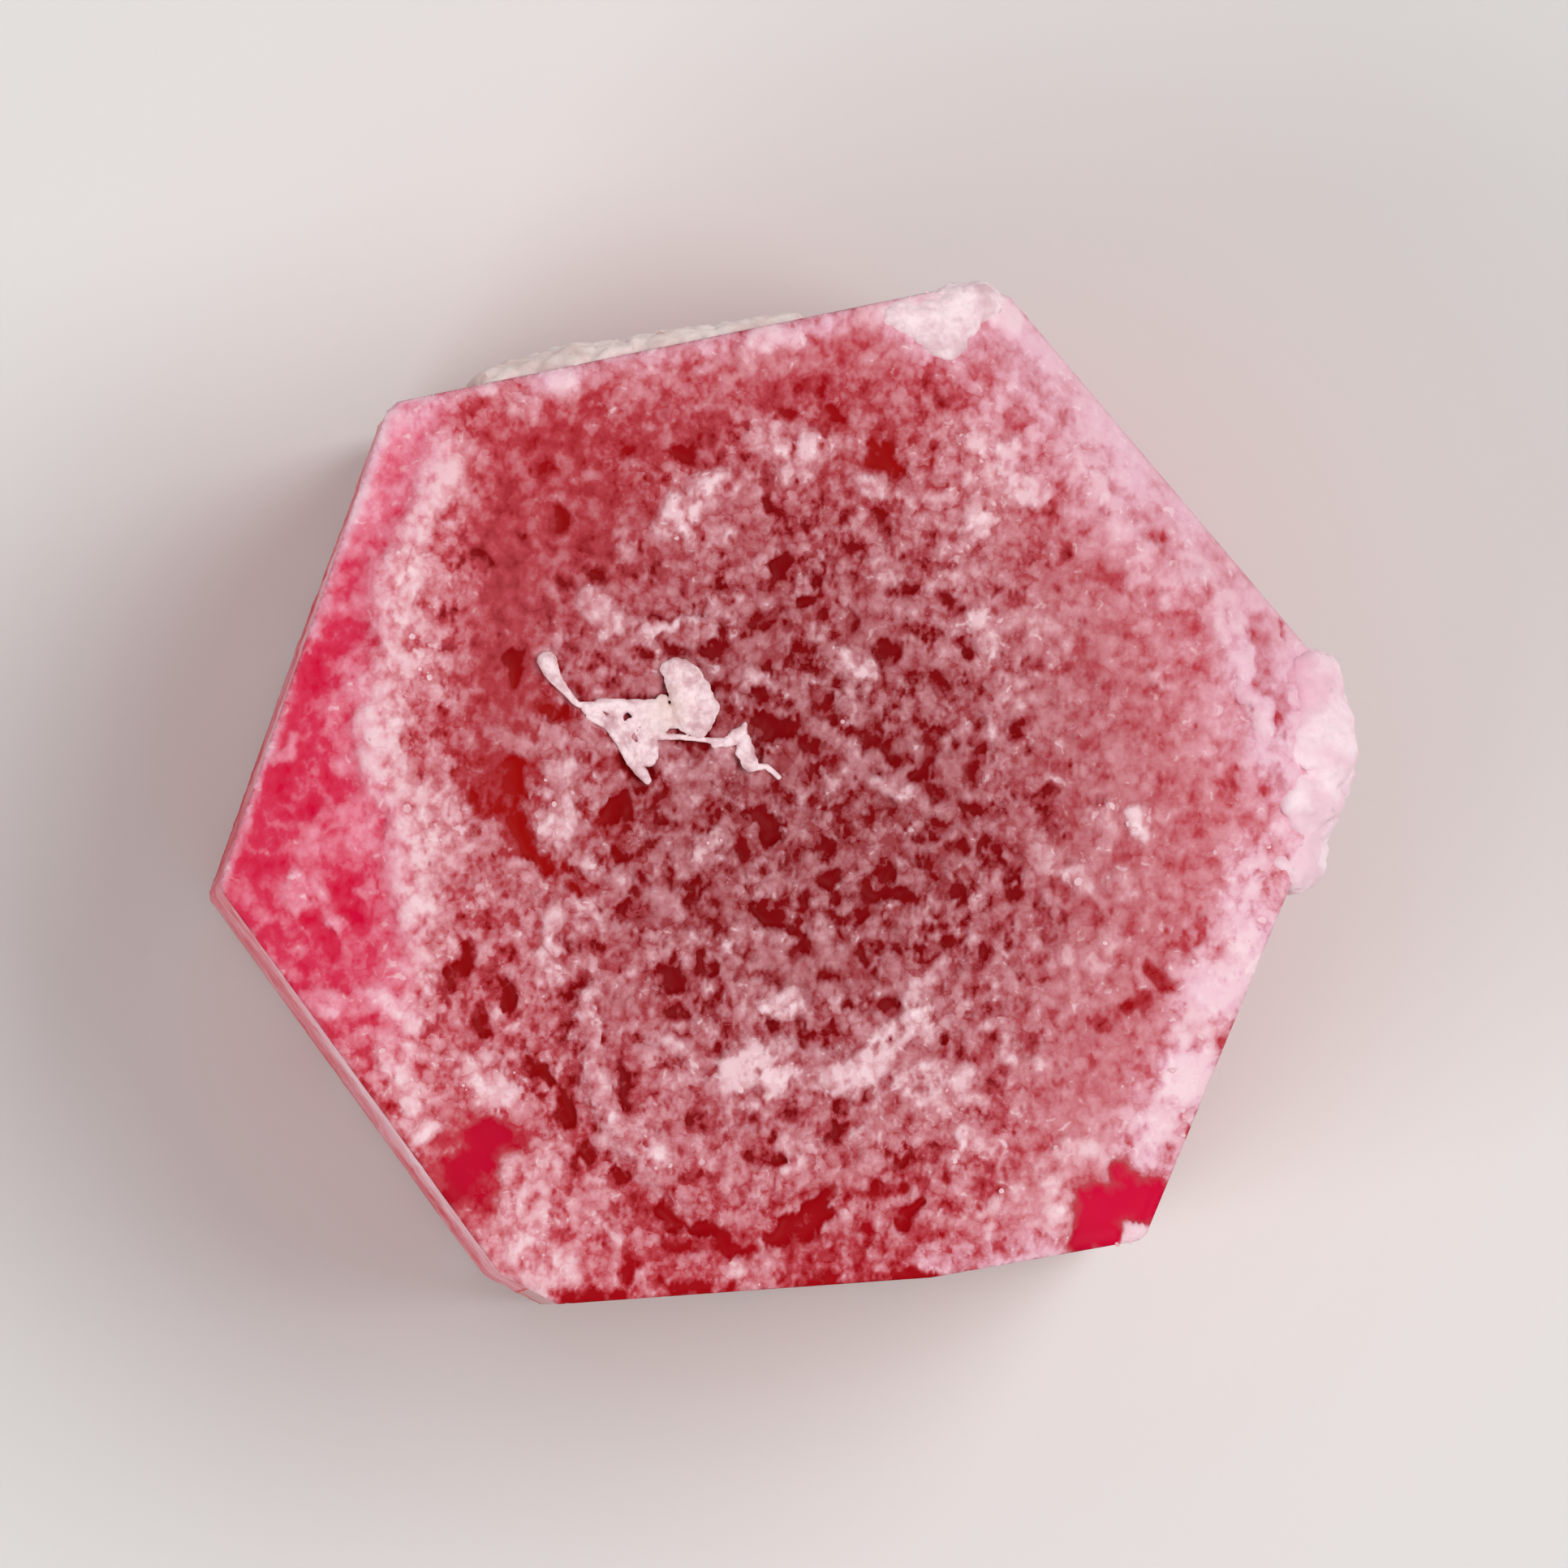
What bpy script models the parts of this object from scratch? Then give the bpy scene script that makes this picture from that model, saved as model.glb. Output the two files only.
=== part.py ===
"""A red beryl crystal that stands on its lower c-face, with the pale matrix that clings to it.

The crystal is one solid: a short six-sided prism whose upper c-face is etched into a low relief
of terraces, ridges, hollows and frost grain. Three crusts of matrix and a strand of residue sit on it.

Metres, +Z up along the crystal's c-axis. The origin is under the middle of the plan, on the base.
Lengths below are in millimetres and angles in degrees.
"""

import math

import bmesh
import bpy
import numpy as np
from mathutils import Matrix, Vector, noise

MM = 0.001
CUT_SLACK = 0.001  # how near a cutting plane a vertex counts as lying on it
WELD = 0.02  # vertices of the cut sheet nearer than this are merged

# The prism.
CRYSTAL_HEIGHT = 6.40  # from the base to the highest point of the c-face
C_FACE_LEVEL = 6.30  # the plain level of the c-face, before its relief
CELL = 0.185  # spacing of the c-face's mesh
PLAN_REACH = 4.9  # the sheet that the prism's plan is cut from reaches this far each way

# Each prism face: the azimuth of its outward normal, and its distance from the c-axis.
PRISM_FACES = {
    "upper_right": (40.3, 4.046),
    "upper": (101.7, 3.792),
    "left": (160.5, 4.102),
    "lower_left": (216.0, 4.150),
    "lower": (274.1, 3.968),
    "lower_bent": (280.1, 4.041),
    "lower_right": (337.5, 4.070),
}

# Each worn corner between two prism faces, given in the same way.
WORN_CORNERS = {
    "right": (9.0, 4.500),
    "top": (71.0, 4.460),
    "upper_left": (131.0, 4.500),
    "left_tip": (187.0, 4.640),
    "bottom": (242.0, 4.500),
    "lower_tip": (308.8, 4.600),
}
OUTLINE = tuple(PRISM_FACES.values()) + tuple(WORN_CORNERS.values())
CORNER_BLEND = 0.01  # planes whose insets differ by less than this share a point of the outline

# The rounded shoulder and the frosted rim, measured inward from their prism faces.
SHOULDER_WIDTH = 0.72
SHOULDER_DROP = 0.36
RIM_WIDTH = 0.62
RIM_DROP = 0.13
EDGE_WEAR_WIDTH = 0.12
EDGE_WEAR_DROP = 0.05

# The dished middle of the c-face, and the lower terrace along its left edge.
DISH_CENTRE = (0.60, -0.10)
DISH_RADIUS = 2.30
DISH_DEPTH = 0.10
TERRACE_DEPTH = 0.11
TERRACE_STEP = 0.18
TERRACE_END = (-1.9, -1.1)  # along Y, where the terrace fades out

# Ridges and grooves: half width, height (negative is a groove), and the points they run through.
LEFT_RIDGE_PATH = (
    (-2.69, 2.79),
    (-3.15, 1.87),
    (-3.22, 1.21),
    (-3.28, 0.35),
    (-3.05, -0.15),
    (-2.95, -1.10),
)
RELIEF_LINES = (
    (0.18, 0.09, LEFT_RIDGE_PATH),
    (0.14, 0.08, ((-1.63, -1.62), (-1.54, -2.35), (-1.17, -2.94), (-0.78, -3.27))),
    (0.12, 0.07, ((3.38, 1.74), (3.90, 0.75), (4.10, 0.15))),
    (0.17, -0.16, ((-2.69, -1.30), (-2.42, -1.82), (-1.83, -2.61), (-1.37, -3.07), (-0.78, -3.40))),
    (0.16, -0.13, ((-0.78, -3.40), (0.21, -3.42), (0.94, -3.34))),
)

# Etched hollows and raised frosted patches: centre, half lengths, turn, and height (negative is a hollow).
RELIEF_SPOTS = (
    ((0.01, 0.55), (0.26, 0.14), 10.0, -0.10),
    ((0.21, -3.38), (0.30, 0.16), 15.0, -0.10),
    ((-0.75, -3.44), (0.26, 0.13), -20.0, -0.10),
    ((-2.26, 0.02), (0.22, 0.42), 15.0, -0.11),
    ((-2.43, -2.98), (0.30, 0.30), 0.0, -0.10),
    ((2.68, -3.30), (0.36, 0.30), 20.0, -0.09),
    ((1.00, -3.34), (0.16, 0.16), 0.0, -0.09),
    ((-2.36, 1.05), (0.20, 0.24), 0.0, -0.08),
    ((0.94, 2.86), (0.20, 0.13), 20.0, -0.09),
    ((0.34, 2.22), (0.22, 0.13), -20.0, -0.09),
    ((-0.12, 1.90), (0.12, 0.20), 0.0, -0.08),
    ((0.31, -0.57), (0.18, 0.12), 0.0, -0.09),
    ((1.45, 0.12), (0.20, 0.14), 30.0, -0.08),
    ((-1.10, -0.35), (0.20, 0.13), -30.0, -0.08),
    ((0.75, -1.35), (0.24, 0.18), 0.0, -0.08),
    ((-0.70, 2.36), (0.28, 0.16), 40.0, 0.06),
    ((0.05, 2.80), (0.26, 0.12), -20.0, 0.06),
    ((1.66, 2.50), (0.26, 0.34), -20.0, 0.06),
    ((-1.50, 1.47), (0.13, 0.20), 0.0, 0.05),
    ((-0.25, -2.22), (0.27, 0.20), 0.0, 0.07),
    ((0.70, -2.08), (0.30, 0.16), 25.0, 0.06),
    ((-3.36, 0.40), (0.20, 0.16), 0.0, 0.05),
    ((2.91, -0.31), (0.10, 0.10), 0.0, 0.06),
)

# Small etch pits scattered over the dished middle: how many, how far out, and their sizes and depths.
ETCH_PITS = 44
ETCH_PIT_REACH = 3.1
ETCH_PIT_SIZES = (0.10, 0.18)
ETCH_PIT_WIDTH = 0.7  # of its length
ETCH_PIT_DEPTHS = (0.05, 0.12)
ETCH_SEED = 11

# The frost grain: a fine unevenness of the whole c-face.
GRAIN_SIZE = 0.42
GRAIN_HEIGHT = 0.035
GRAIN_OCTAVES = 3

# The prism's walls: striations along the c-axis, growth ledges, and the worn lower edge.
STRIATION_SIZE = 0.35
STRIATION_DEPTH = 0.018
STRIATION_LENGTH = 10.0
GROWTH_LEDGES = ((4.25, 20.0, 0.10), (1.85, 70.0, 0.09))  # height, azimuth where it is deepest, depth
LEDGE_STEP = 0.08
BASE_WEAR = 0.07
BASE_CHIPS = ((22.0, 9.0, 0.20), (128.0, 14.0, 0.26), (250.0, 7.0, 0.16), (318.0, 11.0, 0.22))
CHIP_HEIGHT = 0.50  # a chip, given by its azimuth, half width and depth, starts this far up the wall
RIM_FALL = 0.10  # height of the wall's first row below the c-face's edge

# The crusts, grown from overlapping round lumps.
CRUST_GAP = 0.015  # clearance between a crust and the crystal
CRUST_VOXEL = 0.09
THIN_CRUST_VOXEL = 0.05
CRUST_KEEP = 0.42  # share of a crust's faces that stays after it is thinned
CRUST_GRAIN_SIZE = 0.22
CRUST_GRAIN_HEIGHT = 0.02
ICOSPHERE_LEVEL = 2

# Lumps of each crust: centre (x, y, z) and half lengths (x, y, z).
MATRIX_KNOB = (
    ((4.18, 0.98, 5.86), (0.38, 0.27, 0.34)),
    ((4.24, 0.76, 5.78), (0.38, 0.34, 0.46)),
    ((4.26, 0.40, 6.02), (0.43, 0.40, 0.34)),
    ((4.27, 0.28, 5.55), (0.42, 0.38, 0.60)),
    ((4.20, 0.02, 5.98), (0.38, 0.34, 0.36)),
    ((4.16, -0.26, 5.70), (0.32, 0.30, 0.50)),
    ((4.08, -0.54, 5.86), (0.33, 0.25, 0.38)),
    ((4.24, 0.50, 4.95), (0.38, 0.38, 0.56)),
    ((4.20, 0.12, 4.80), (0.36, 0.36, 0.50)),
    ((4.22, 0.62, 4.25), (0.34, 0.34, 0.50)),
    ((4.22, 0.46, 3.70), (0.32, 0.28, 0.42)),
)
EDGE_RIND = (
    ((-2.30, 3.30, 5.95), (0.30, 0.24, 0.34)),
    ((-1.95, 3.38, 5.75), (0.34, 0.27, 0.50)),
    ((-1.66, 3.44, 5.85), (0.32, 0.28, 0.44)),
    ((-1.30, 3.51, 5.80), (0.34, 0.26, 0.48)),
    ((-0.95, 3.59, 5.92), (0.32, 0.24, 0.36)),
    ((-0.62, 3.67, 5.86), (0.30, 0.20, 0.40)),
    ((-0.28, 3.74, 5.95), (0.28, 0.17, 0.30)),
    ((0.02, 3.80, 5.97), (0.24, 0.17, 0.27)),
    ((-1.70, 3.40, 5.20), (0.34, 0.24, 0.46)),
    ((-1.20, 3.50, 5.15), (0.30, 0.22, 0.40)),
)
CORNER_CRUST = (
    ((0.96, 3.93, 6.25), (0.21, 0.14, 0.13)),
    ((1.18, 3.86, 6.25), (0.26, 0.22, 0.14)),
    ((1.32, 3.70, 6.25), (0.17, 0.16, 0.13)),
    ((1.42, 4.00, 6.18), (0.28, 0.20, 0.18)),
    ((1.60, 4.02, 6.04), (0.20, 0.19, 0.24)),
    ((1.58, 4.06, 5.72), (0.20, 0.17, 0.34)),
)
# Necks and blobs of the strand: a point on the c-face and the radius there, in running order.
RESIDUE_STRAND = (
    ((-1.97, 1.17), 0.085),
    ((-1.86, 1.02), 0.060),
    ((-1.70, 0.78), 0.050),
    ((-1.47, 0.68), 0.060),
    ((-1.24, 0.64), 0.110),
    ((-1.00, 0.66), 0.150),
    ((-0.76, 0.66), 0.110),
    ((-0.58, 0.60), 0.060),
    ((-0.41, 0.46), 0.080),
    ((-0.28, 0.33), 0.050),
    ((-0.12, 0.21), 0.045),
)
RESIDUE_LOBES = (
    (((-0.92, 0.70), 0.130), ((-0.80, 0.84), 0.170), ((-0.79, 0.96), 0.140)),
    (((-1.16, 0.58), 0.110), ((-1.18, 0.44), 0.080), ((-1.17, 0.32), 0.065)),
)
RESIDUE_SINK = 0.35  # part of a blob's radius that its centre lies above the face
NECK_SPACING = 0.5  # of the radius, between the round lumps along a neck

# Colour, roughness and metallic value of each material.
BERYL = ("beryl", (0.62, 0.06, 0.12, 1.0), 0.35, 0.0)
MATRIX = ("matrix", (0.84, 0.66, 0.68, 1.0), 0.85, 0.0)
RIND = ("rind", (0.70, 0.58, 0.52, 1.0), 0.85, 0.0)
RESIDUE = ("residue", (0.86, 0.76, 0.76, 1.0), 0.75, 0.0)


def clear_scene():
    for obj in list(bpy.data.objects):
        bpy.data.objects.remove(obj)


def collection(name, shown=True):
    made = bpy.data.collections.new(name)
    made.hide_render = not shown
    bpy.context.scene.collection.children.link(made)
    return made


def material(name, colour, roughness, metallic):
    made = bpy.data.materials.new(name)
    made.use_nodes = True
    shader = made.node_tree.nodes["Principled BSDF"]
    shader.inputs["Base Color"].default_value = colour
    shader.inputs["Roughness"].default_value = roughness
    shader.inputs["Metallic"].default_value = metallic
    made.diffuse_color = colour
    return made


def smooth(t):
    t = np.clip(t, 0.0, 1.0)
    return t * t * (3.0 - 2.0 * t)


def plane_normal(azimuth):
    return Vector((math.cos(math.radians(azimuth)), math.sin(math.radians(azimuth)), 0.0))


def inset_from(face, x, y):
    """How far a point of the plan lies inside one prism face."""
    azimuth, distance = PRISM_FACES[face]
    normal = plane_normal(azimuth)
    return distance - x * normal.x - y * normal.y


def inset_from_outline(x, y):
    insets = []
    for azimuth, distance in OUTLINE:
        normal = plane_normal(azimuth)
        insets.append(distance - x * normal.x - y * normal.y)
    return min(insets)


def distance_to_path(x, y, path):
    """The distance from a point to the nearest stretch of an open path."""
    point = Vector((x, y))
    nearest = math.inf
    for start, end in zip(path, path[1:]):
        along = Vector(end) - Vector(start)
        t = (point - Vector(start)).dot(along) / along.length_squared
        t = min(max(t, 0.0), 1.0)
        nearest = min(nearest, (point - Vector(start) - t * along).length)
    return nearest


def terrace_weight(x, y):
    """1 on the terrace between the left ridge and the left edge, falling softly to 0 beyond its ends."""
    upward = LEFT_RIDGE_PATH[::-1]
    ridge = np.interp(y, [point[1] for point in upward], [point[0] for point in upward])
    start, end = TERRACE_END
    return float(smooth((ridge - x) / TERRACE_STEP) * smooth((y - start) / (end - start)))


def spot_weight(x, y, centre, half_lengths, turn):
    """1 in the middle of an oval spot, falling softly to 0 outside it."""
    angle = math.radians(turn)
    dx, dy = x - centre[0], y - centre[1]
    u = (dx * math.cos(angle) + dy * math.sin(angle)) / half_lengths[0]
    v = (dy * math.cos(angle) - dx * math.sin(angle)) / half_lengths[1]
    return math.exp(-((u * u + v * v) ** 2))


def etch_pits():
    """The scattered pits, as spots like those of RELIEF_SPOTS."""
    draw = np.random.default_rng(ETCH_SEED)
    pits = []
    for _ in range(ETCH_PITS):
        bearing = draw.uniform(0.0, 2.0 * math.pi)
        reach = ETCH_PIT_REACH * math.sqrt(draw.uniform())
        x = DISH_CENTRE[0] + reach * math.cos(bearing)
        y = DISH_CENTRE[1] + reach * math.sin(bearing)
        size = draw.uniform(*ETCH_PIT_SIZES)
        turn = draw.uniform(0.0, 180.0)
        depth = draw.uniform(*ETCH_PIT_DEPTHS)
        pits.append(((x, y), (size, ETCH_PIT_WIDTH * size), turn, -depth))
    return tuple(pits)


def grain(x, y, z, size):
    """Fractal unevenness between about -1 and 1."""
    place = Vector((x, y, z)) / size
    return noise.fractal(place, 1.0, 2.0, GRAIN_OCTAVES)


SCATTERED_PITS = etch_pits()


def face_height(x, y):
    """The height of the upper c-face above the base at a point of the plan."""
    height = C_FACE_LEVEL
    shoulder = max(0.0, 1.0 - inset_from("upper_right", x, y) / SHOULDER_WIDTH)
    height -= SHOULDER_DROP * shoulder**2
    rim = max(0.0, 1.0 - inset_from("lower_right", x, y) / RIM_WIDTH)
    height -= RIM_DROP * float(smooth(rim))
    wear = max(0.0, 1.0 - inset_from_outline(x, y) / EDGE_WEAR_WIDTH)
    height -= EDGE_WEAR_DROP * wear**2
    from_dish = math.hypot(x - DISH_CENTRE[0], y - DISH_CENTRE[1]) / DISH_RADIUS
    height -= DISH_DEPTH * math.exp(-(from_dish**2))
    height -= TERRACE_DEPTH * terrace_weight(x, y)
    for half_width, rise, path in RELIEF_LINES:
        height += rise * math.exp(-((distance_to_path(x, y, path) / half_width) ** 2))
    for centre, half_lengths, turn, rise in RELIEF_SPOTS + SCATTERED_PITS:
        height += rise * spot_weight(x, y, centre, half_lengths, turn)
    height += GRAIN_HEIGHT * grain(x, y, 0.0, GRAIN_SIZE)
    return min(height, CRYSTAL_HEIGHT)


def outline_normal(x, y):
    """The outward direction of the prism's outline at a point on it."""
    total = Vector((0.0, 0.0, 0.0))
    nearest = inset_from_outline(x, y)
    for azimuth, distance in OUTLINE:
        normal = plane_normal(azimuth)
        if distance - x * normal.x - y * normal.y < nearest + CORNER_BLEND:
            total += normal
    return total.normalized()


def wall_inset(x, y, z):
    """How far the wall lies inside the prism's plain outline."""
    azimuth = math.degrees(math.atan2(y, x))
    along = Vector((x / STRIATION_SIZE, y / STRIATION_SIZE, z / STRIATION_LENGTH))
    inset = STRIATION_DEPTH * (1.0 + noise.noise(along))
    for height, deepest, depth in GROWTH_LEDGES:
        facing = max(0.0, math.cos(math.radians(azimuth - deepest)))
        if z < height:
            inset += depth * facing
    for centre, half_width, depth in BASE_CHIPS:
        turn = (azimuth - centre + 180.0) % 360.0 - 180.0
        lowness = max(0.0, 1.0 - z / CHIP_HEIGHT)
        inset += depth * lowness * math.exp(-((turn / half_width) ** 2))
    if z <= 0.0:
        inset += BASE_WEAR
    return inset


def cut_plan_sheet():
    """A fine square sheet, its rows along the shoulder, cut to the outline by the faces and corners."""
    sheet = bmesh.new()
    steps = round(2.0 * PLAN_REACH / CELL)
    turned = Matrix.Rotation(math.radians(PRISM_FACES["upper_right"][0]), 4, "Z")
    bmesh.ops.create_grid(sheet, x_segments=steps, y_segments=steps, size=PLAN_REACH * MM, matrix=turned)
    for azimuth, distance in OUTLINE:
        normal = plane_normal(azimuth)
        bmesh.ops.bisect_plane(
            sheet,
            geom=sheet.verts[:] + sheet.edges[:] + sheet.faces[:],
            dist=CUT_SLACK * MM,
            plane_co=normal * distance * MM,
            plane_no=normal,
            clear_outer=True,
        )
    bmesh.ops.remove_doubles(sheet, verts=sheet.verts, dist=WELD * MM)
    return sheet


def wall_rows(rim_height):
    """The heights of the wall's rows below a point of the c-face's edge."""
    rows = [rim_height - RIM_FALL]
    for height, _, _ in GROWTH_LEDGES:
        rows += [height + LEDGE_STEP / 2.0, height - LEDGE_STEP / 2.0]
    return rows + [CHIP_HEIGHT, BASE_WEAR, 0.0]


def build_crystal(parts):
    crystal = cut_plan_sheet()
    plan = crystal.verts.layers.float_vector.new("plan")
    for vert in crystal.verts:
        x, y = vert.co.x / MM, vert.co.y / MM
        vert[plan] = Vector((x, y, face_height(x, y)))
        vert.co.z = vert[plan].z * MM
    rim = [edge for edge in crystal.edges if edge.is_boundary]
    for row in range(len(wall_rows(C_FACE_LEVEL))):
        made = bmesh.ops.extrude_edge_only(crystal, edges=rim)["geom"]
        for vert in (item for item in made if isinstance(item, bmesh.types.BMVert)):
            x, y, rim_height = vert[plan]
            z = wall_rows(rim_height)[row]
            outward = outline_normal(x, y)
            vert.co = (Vector((x, y, z)) - outward * wall_inset(x, y, z)) * MM
        rim = [item for item in made if isinstance(item, bmesh.types.BMEdge)]
        rim = [edge for edge in rim if edge.is_boundary]
    bmesh.ops.contextual_create(crystal, geom=rim)
    bmesh.ops.recalc_face_normals(crystal, faces=crystal.faces)
    mesh = bpy.data.meshes.new("crystal")
    crystal.to_mesh(mesh)
    crystal.free()
    obj = bpy.data.objects.new("crystal", mesh)
    mesh.materials.append(material(*BERYL))
    parts.objects.link(obj)
    return obj


def clearance_cutter(crystal, cutters):
    """The crystal made larger by the crusts' clearance, for cutting their undersides."""
    cutter = bpy.data.objects.new("crystal_clearance", crystal.data.copy())
    grow = 1.0 + CRUST_GAP / min(distance for _, distance in PRISM_FACES.values())
    rise = 1.0 + CRUST_GAP / C_FACE_LEVEL
    cutter.data.transform(Matrix.Diagonal((grow, grow, rise, 1.0)))
    cutter.hide_render = True
    cutter.display_type = "WIRE"
    cutters.objects.link(cutter)
    return cutter


def merge_lumps(name, lumps, voxel):
    """One closed mass around overlapping round lumps, in a mesh of its own, in metres."""
    mass = bmesh.new()
    for centre, half_lengths in lumps:
        place = Matrix.Translation(centre) @ Matrix.Diagonal((*half_lengths, 1.0))
        bmesh.ops.create_icosphere(mass, subdivisions=ICOSPHERE_LEVEL, radius=1.0, matrix=place)
    mesh = bpy.data.meshes.new(name + "_lumps")
    mass.to_mesh(mesh)
    mass.free()
    source = bpy.data.objects.new(name + "_lumps", mesh)
    bpy.context.scene.collection.objects.link(source)
    remesh = source.modifiers.new("remesh", "REMESH")
    remesh.mode = "VOXEL"
    remesh.voxel_size = voxel
    thin = source.modifiers.new("thin", "DECIMATE")
    thin.ratio = CRUST_KEEP
    bpy.context.view_layer.update()
    graph = bpy.context.evaluated_depsgraph_get()
    merged = bpy.data.meshes.new_from_object(source.evaluated_get(graph))
    bpy.data.objects.remove(source)
    for vert in merged.vertices:
        vert.co += vert.normal * CRUST_GRAIN_HEIGHT * grain(*vert.co, CRUST_GRAIN_SIZE)
    merged.transform(Matrix.Scale(MM, 4))
    return merged


def keep_largest_body(mesh):
    """Drops the crumbs that a cut leaves beside the main body."""
    body = bmesh.new()
    body.from_mesh(mesh)
    unseen = set(body.verts)
    bodies = []
    while unseen:
        found = {unseen.pop()}
        front = list(found)
        while front:
            for edge in front.pop().link_edges:
                for vert in edge.verts:
                    if vert in unseen:
                        unseen.remove(vert)
                        found.add(vert)
                        front.append(vert)
        bodies.append(found)
    largest = max(bodies, key=len)
    crumbs = [vert for vert in body.verts if vert not in largest]
    bmesh.ops.delete(body, geom=crumbs, context="VERTS")
    body.to_mesh(mesh)
    body.free()


def build_crust(name, lumps, voxel, finish, cutter, parts):
    """A crust whose underside is cut to the crystal."""
    mass = bpy.data.objects.new(name + "_uncut", merge_lumps(name, lumps, voxel))
    bpy.context.scene.collection.objects.link(mass)
    cut = mass.modifiers.new("cut", "BOOLEAN")
    cut.operation = "DIFFERENCE"
    cut.solver = "EXACT"
    cut.object = cutter
    bpy.context.view_layer.update()
    graph = bpy.context.evaluated_depsgraph_get()
    mesh = bpy.data.meshes.new_from_object(mass.evaluated_get(graph))
    bpy.data.objects.remove(mass)
    keep_largest_body(mesh)
    mesh.name = name
    mesh.shade_smooth()
    mesh.materials.clear()
    mesh.materials.append(finish)
    crust = bpy.data.objects.new(name, mesh)
    parts.objects.link(crust)
    return crust


def strand_lumps():
    """The round lumps that make the residue strand, laid on the c-face."""
    lumps = []
    for run in (RESIDUE_STRAND,) + RESIDUE_LOBES:
        for (start, start_radius), (end, end_radius) in zip(run, run[1:]):
            span = (Vector(end) - Vector(start)).length
            count = math.ceil(span / (NECK_SPACING * min(start_radius, end_radius)))
            for step in range(count + 1):
                t = step / count
                x = start[0] + t * (end[0] - start[0])
                y = start[1] + t * (end[1] - start[1])
                radius = start_radius + t * (end_radius - start_radius)
                z = face_height(x, y) + RESIDUE_SINK * radius
                lumps.append(((x, y, z), (radius, radius, radius)))
    return lumps


def main():
    clear_scene()
    parts = collection("red_beryl_crystal")
    cutters = collection("cutters", shown=False)
    crystal = build_crystal(parts)
    cutter = clearance_cutter(crystal, cutters)
    matrix = material(*MATRIX)
    rind = material(*RIND)
    residue = material(*RESIDUE)
    build_crust("matrix_knob", MATRIX_KNOB, CRUST_VOXEL, matrix, cutter, parts)
    build_crust("edge_rind", EDGE_RIND, CRUST_VOXEL, rind, cutter, parts)
    build_crust("corner_crust", CORNER_CRUST, THIN_CRUST_VOXEL, matrix.copy(), cutter, parts)
    build_crust("residue_strand", strand_lumps(), THIN_CRUST_VOXEL, residue, cutter, parts)


main()
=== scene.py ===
"""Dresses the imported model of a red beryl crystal: the etched and frosted crystal itself, the crusts of pale
matrix on its edges, the residue and the crumbs on its end face, and a plain studio around it.

The frame is in metres with +Z up along the crystal's c-axis. Sizes and places below are in millimetres, and
angles are in degrees, unless a name says otherwise.
"""

import math

import bmesh
import bpy
import numpy as np
from bpy.props import FloatProperty, FloatVectorProperty, IntProperty, PointerProperty
from mathutils import Matrix, Vector, noise


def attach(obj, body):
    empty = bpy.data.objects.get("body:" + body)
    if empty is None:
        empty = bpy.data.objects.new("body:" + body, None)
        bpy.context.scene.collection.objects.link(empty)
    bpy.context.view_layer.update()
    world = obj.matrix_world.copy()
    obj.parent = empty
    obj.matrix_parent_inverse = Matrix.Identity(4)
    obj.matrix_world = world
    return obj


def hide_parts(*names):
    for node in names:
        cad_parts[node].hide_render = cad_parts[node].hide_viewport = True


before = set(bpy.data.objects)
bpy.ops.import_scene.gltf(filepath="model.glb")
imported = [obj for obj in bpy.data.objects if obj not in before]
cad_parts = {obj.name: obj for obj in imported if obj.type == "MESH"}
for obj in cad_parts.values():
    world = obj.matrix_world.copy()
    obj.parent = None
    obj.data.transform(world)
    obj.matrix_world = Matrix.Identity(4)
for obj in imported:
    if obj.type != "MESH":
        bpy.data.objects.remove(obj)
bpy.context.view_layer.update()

bl_info = {
    "name": "Red Beryl Crystal",
    "version": (1, 0, 0),
    "blender": (4, 5, 0),
    "location": "3D View > Sidebar > Red Beryl",
    "description": "Builds a frosted red beryl crystal with its matrix crusts in a plain studio",
    "category": "Object",
}

MM = 0.001

# The prism, as in the part's source: the azimuth of each face's outward normal, and its distance from the
# axis.
PRISM_FACES = {
    "upper_right": (40.3, 4.046),
    "upper": (101.7, 3.792),
    "left": (160.5, 4.102),
    "lower_left": (216.0, 4.150),
    "lower": (274.1, 3.968),
    "lower_bent": (280.1, 4.041),
    "lower_right": (337.5, 4.070),
}
# Each worn corner between two prism faces, given in the same way.
WORN_CORNERS = {
    "right": (9.0, 4.500),
    "top": (71.0, 4.460),
    "upper_left": (131.0, 4.500),
    "left_tip": (187.0, 4.640),
    "bottom": (242.0, 4.500),
    "lower_tip": (308.8, 4.600),
}
OUTLINE = tuple(PRISM_FACES.values()) + tuple(WORN_CORNERS.values())
C_FACE_LEVEL = 6.30

# The fine sheet that is cut to the outline and becomes the end face.
PLAN_REACH = 4.9  # half its width before it is cut
FINE_CELL = 0.034
CUT_SLACK = 0.0002
WELD = 0.005
CORNER_BLEND = 0.004  # planes whose insets differ by less than this share a point of the outline

# The large forms of the end face. Widths are measured inward from the prism faces.
SHOULDER_WIDTH = 0.72
SHOULDER_DROP = 0.36
RIM_WIDTH = 0.62
RIM_DROP = 0.13
EDGE_WEAR_WIDTH = 0.07
EDGE_WEAR_DROP = 0.03
DISH_CENTRE = (0.60, -0.10)
DISH_RADIUS = 2.30
DISH_DEPTH = 0.10
TERRACE_DEPTH = 0.07
TERRACE_STEP = 0.45
TERRACE_END = (-1.9, -1.1)  # where the terrace starts along Y, and where it is whole
LEFT_RIDGE_PATH = (
    (-2.69, 2.79),
    (-3.15, 1.87),
    (-3.22, 1.21),
    (-3.28, 0.35),
    (-3.05, -0.15),
    (-2.95, -1.10),
)
INNER_ARC_PATH = ((-1.63, -1.62), (-1.54, -2.35), (-1.17, -2.94), (-0.78, -3.27))
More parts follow.
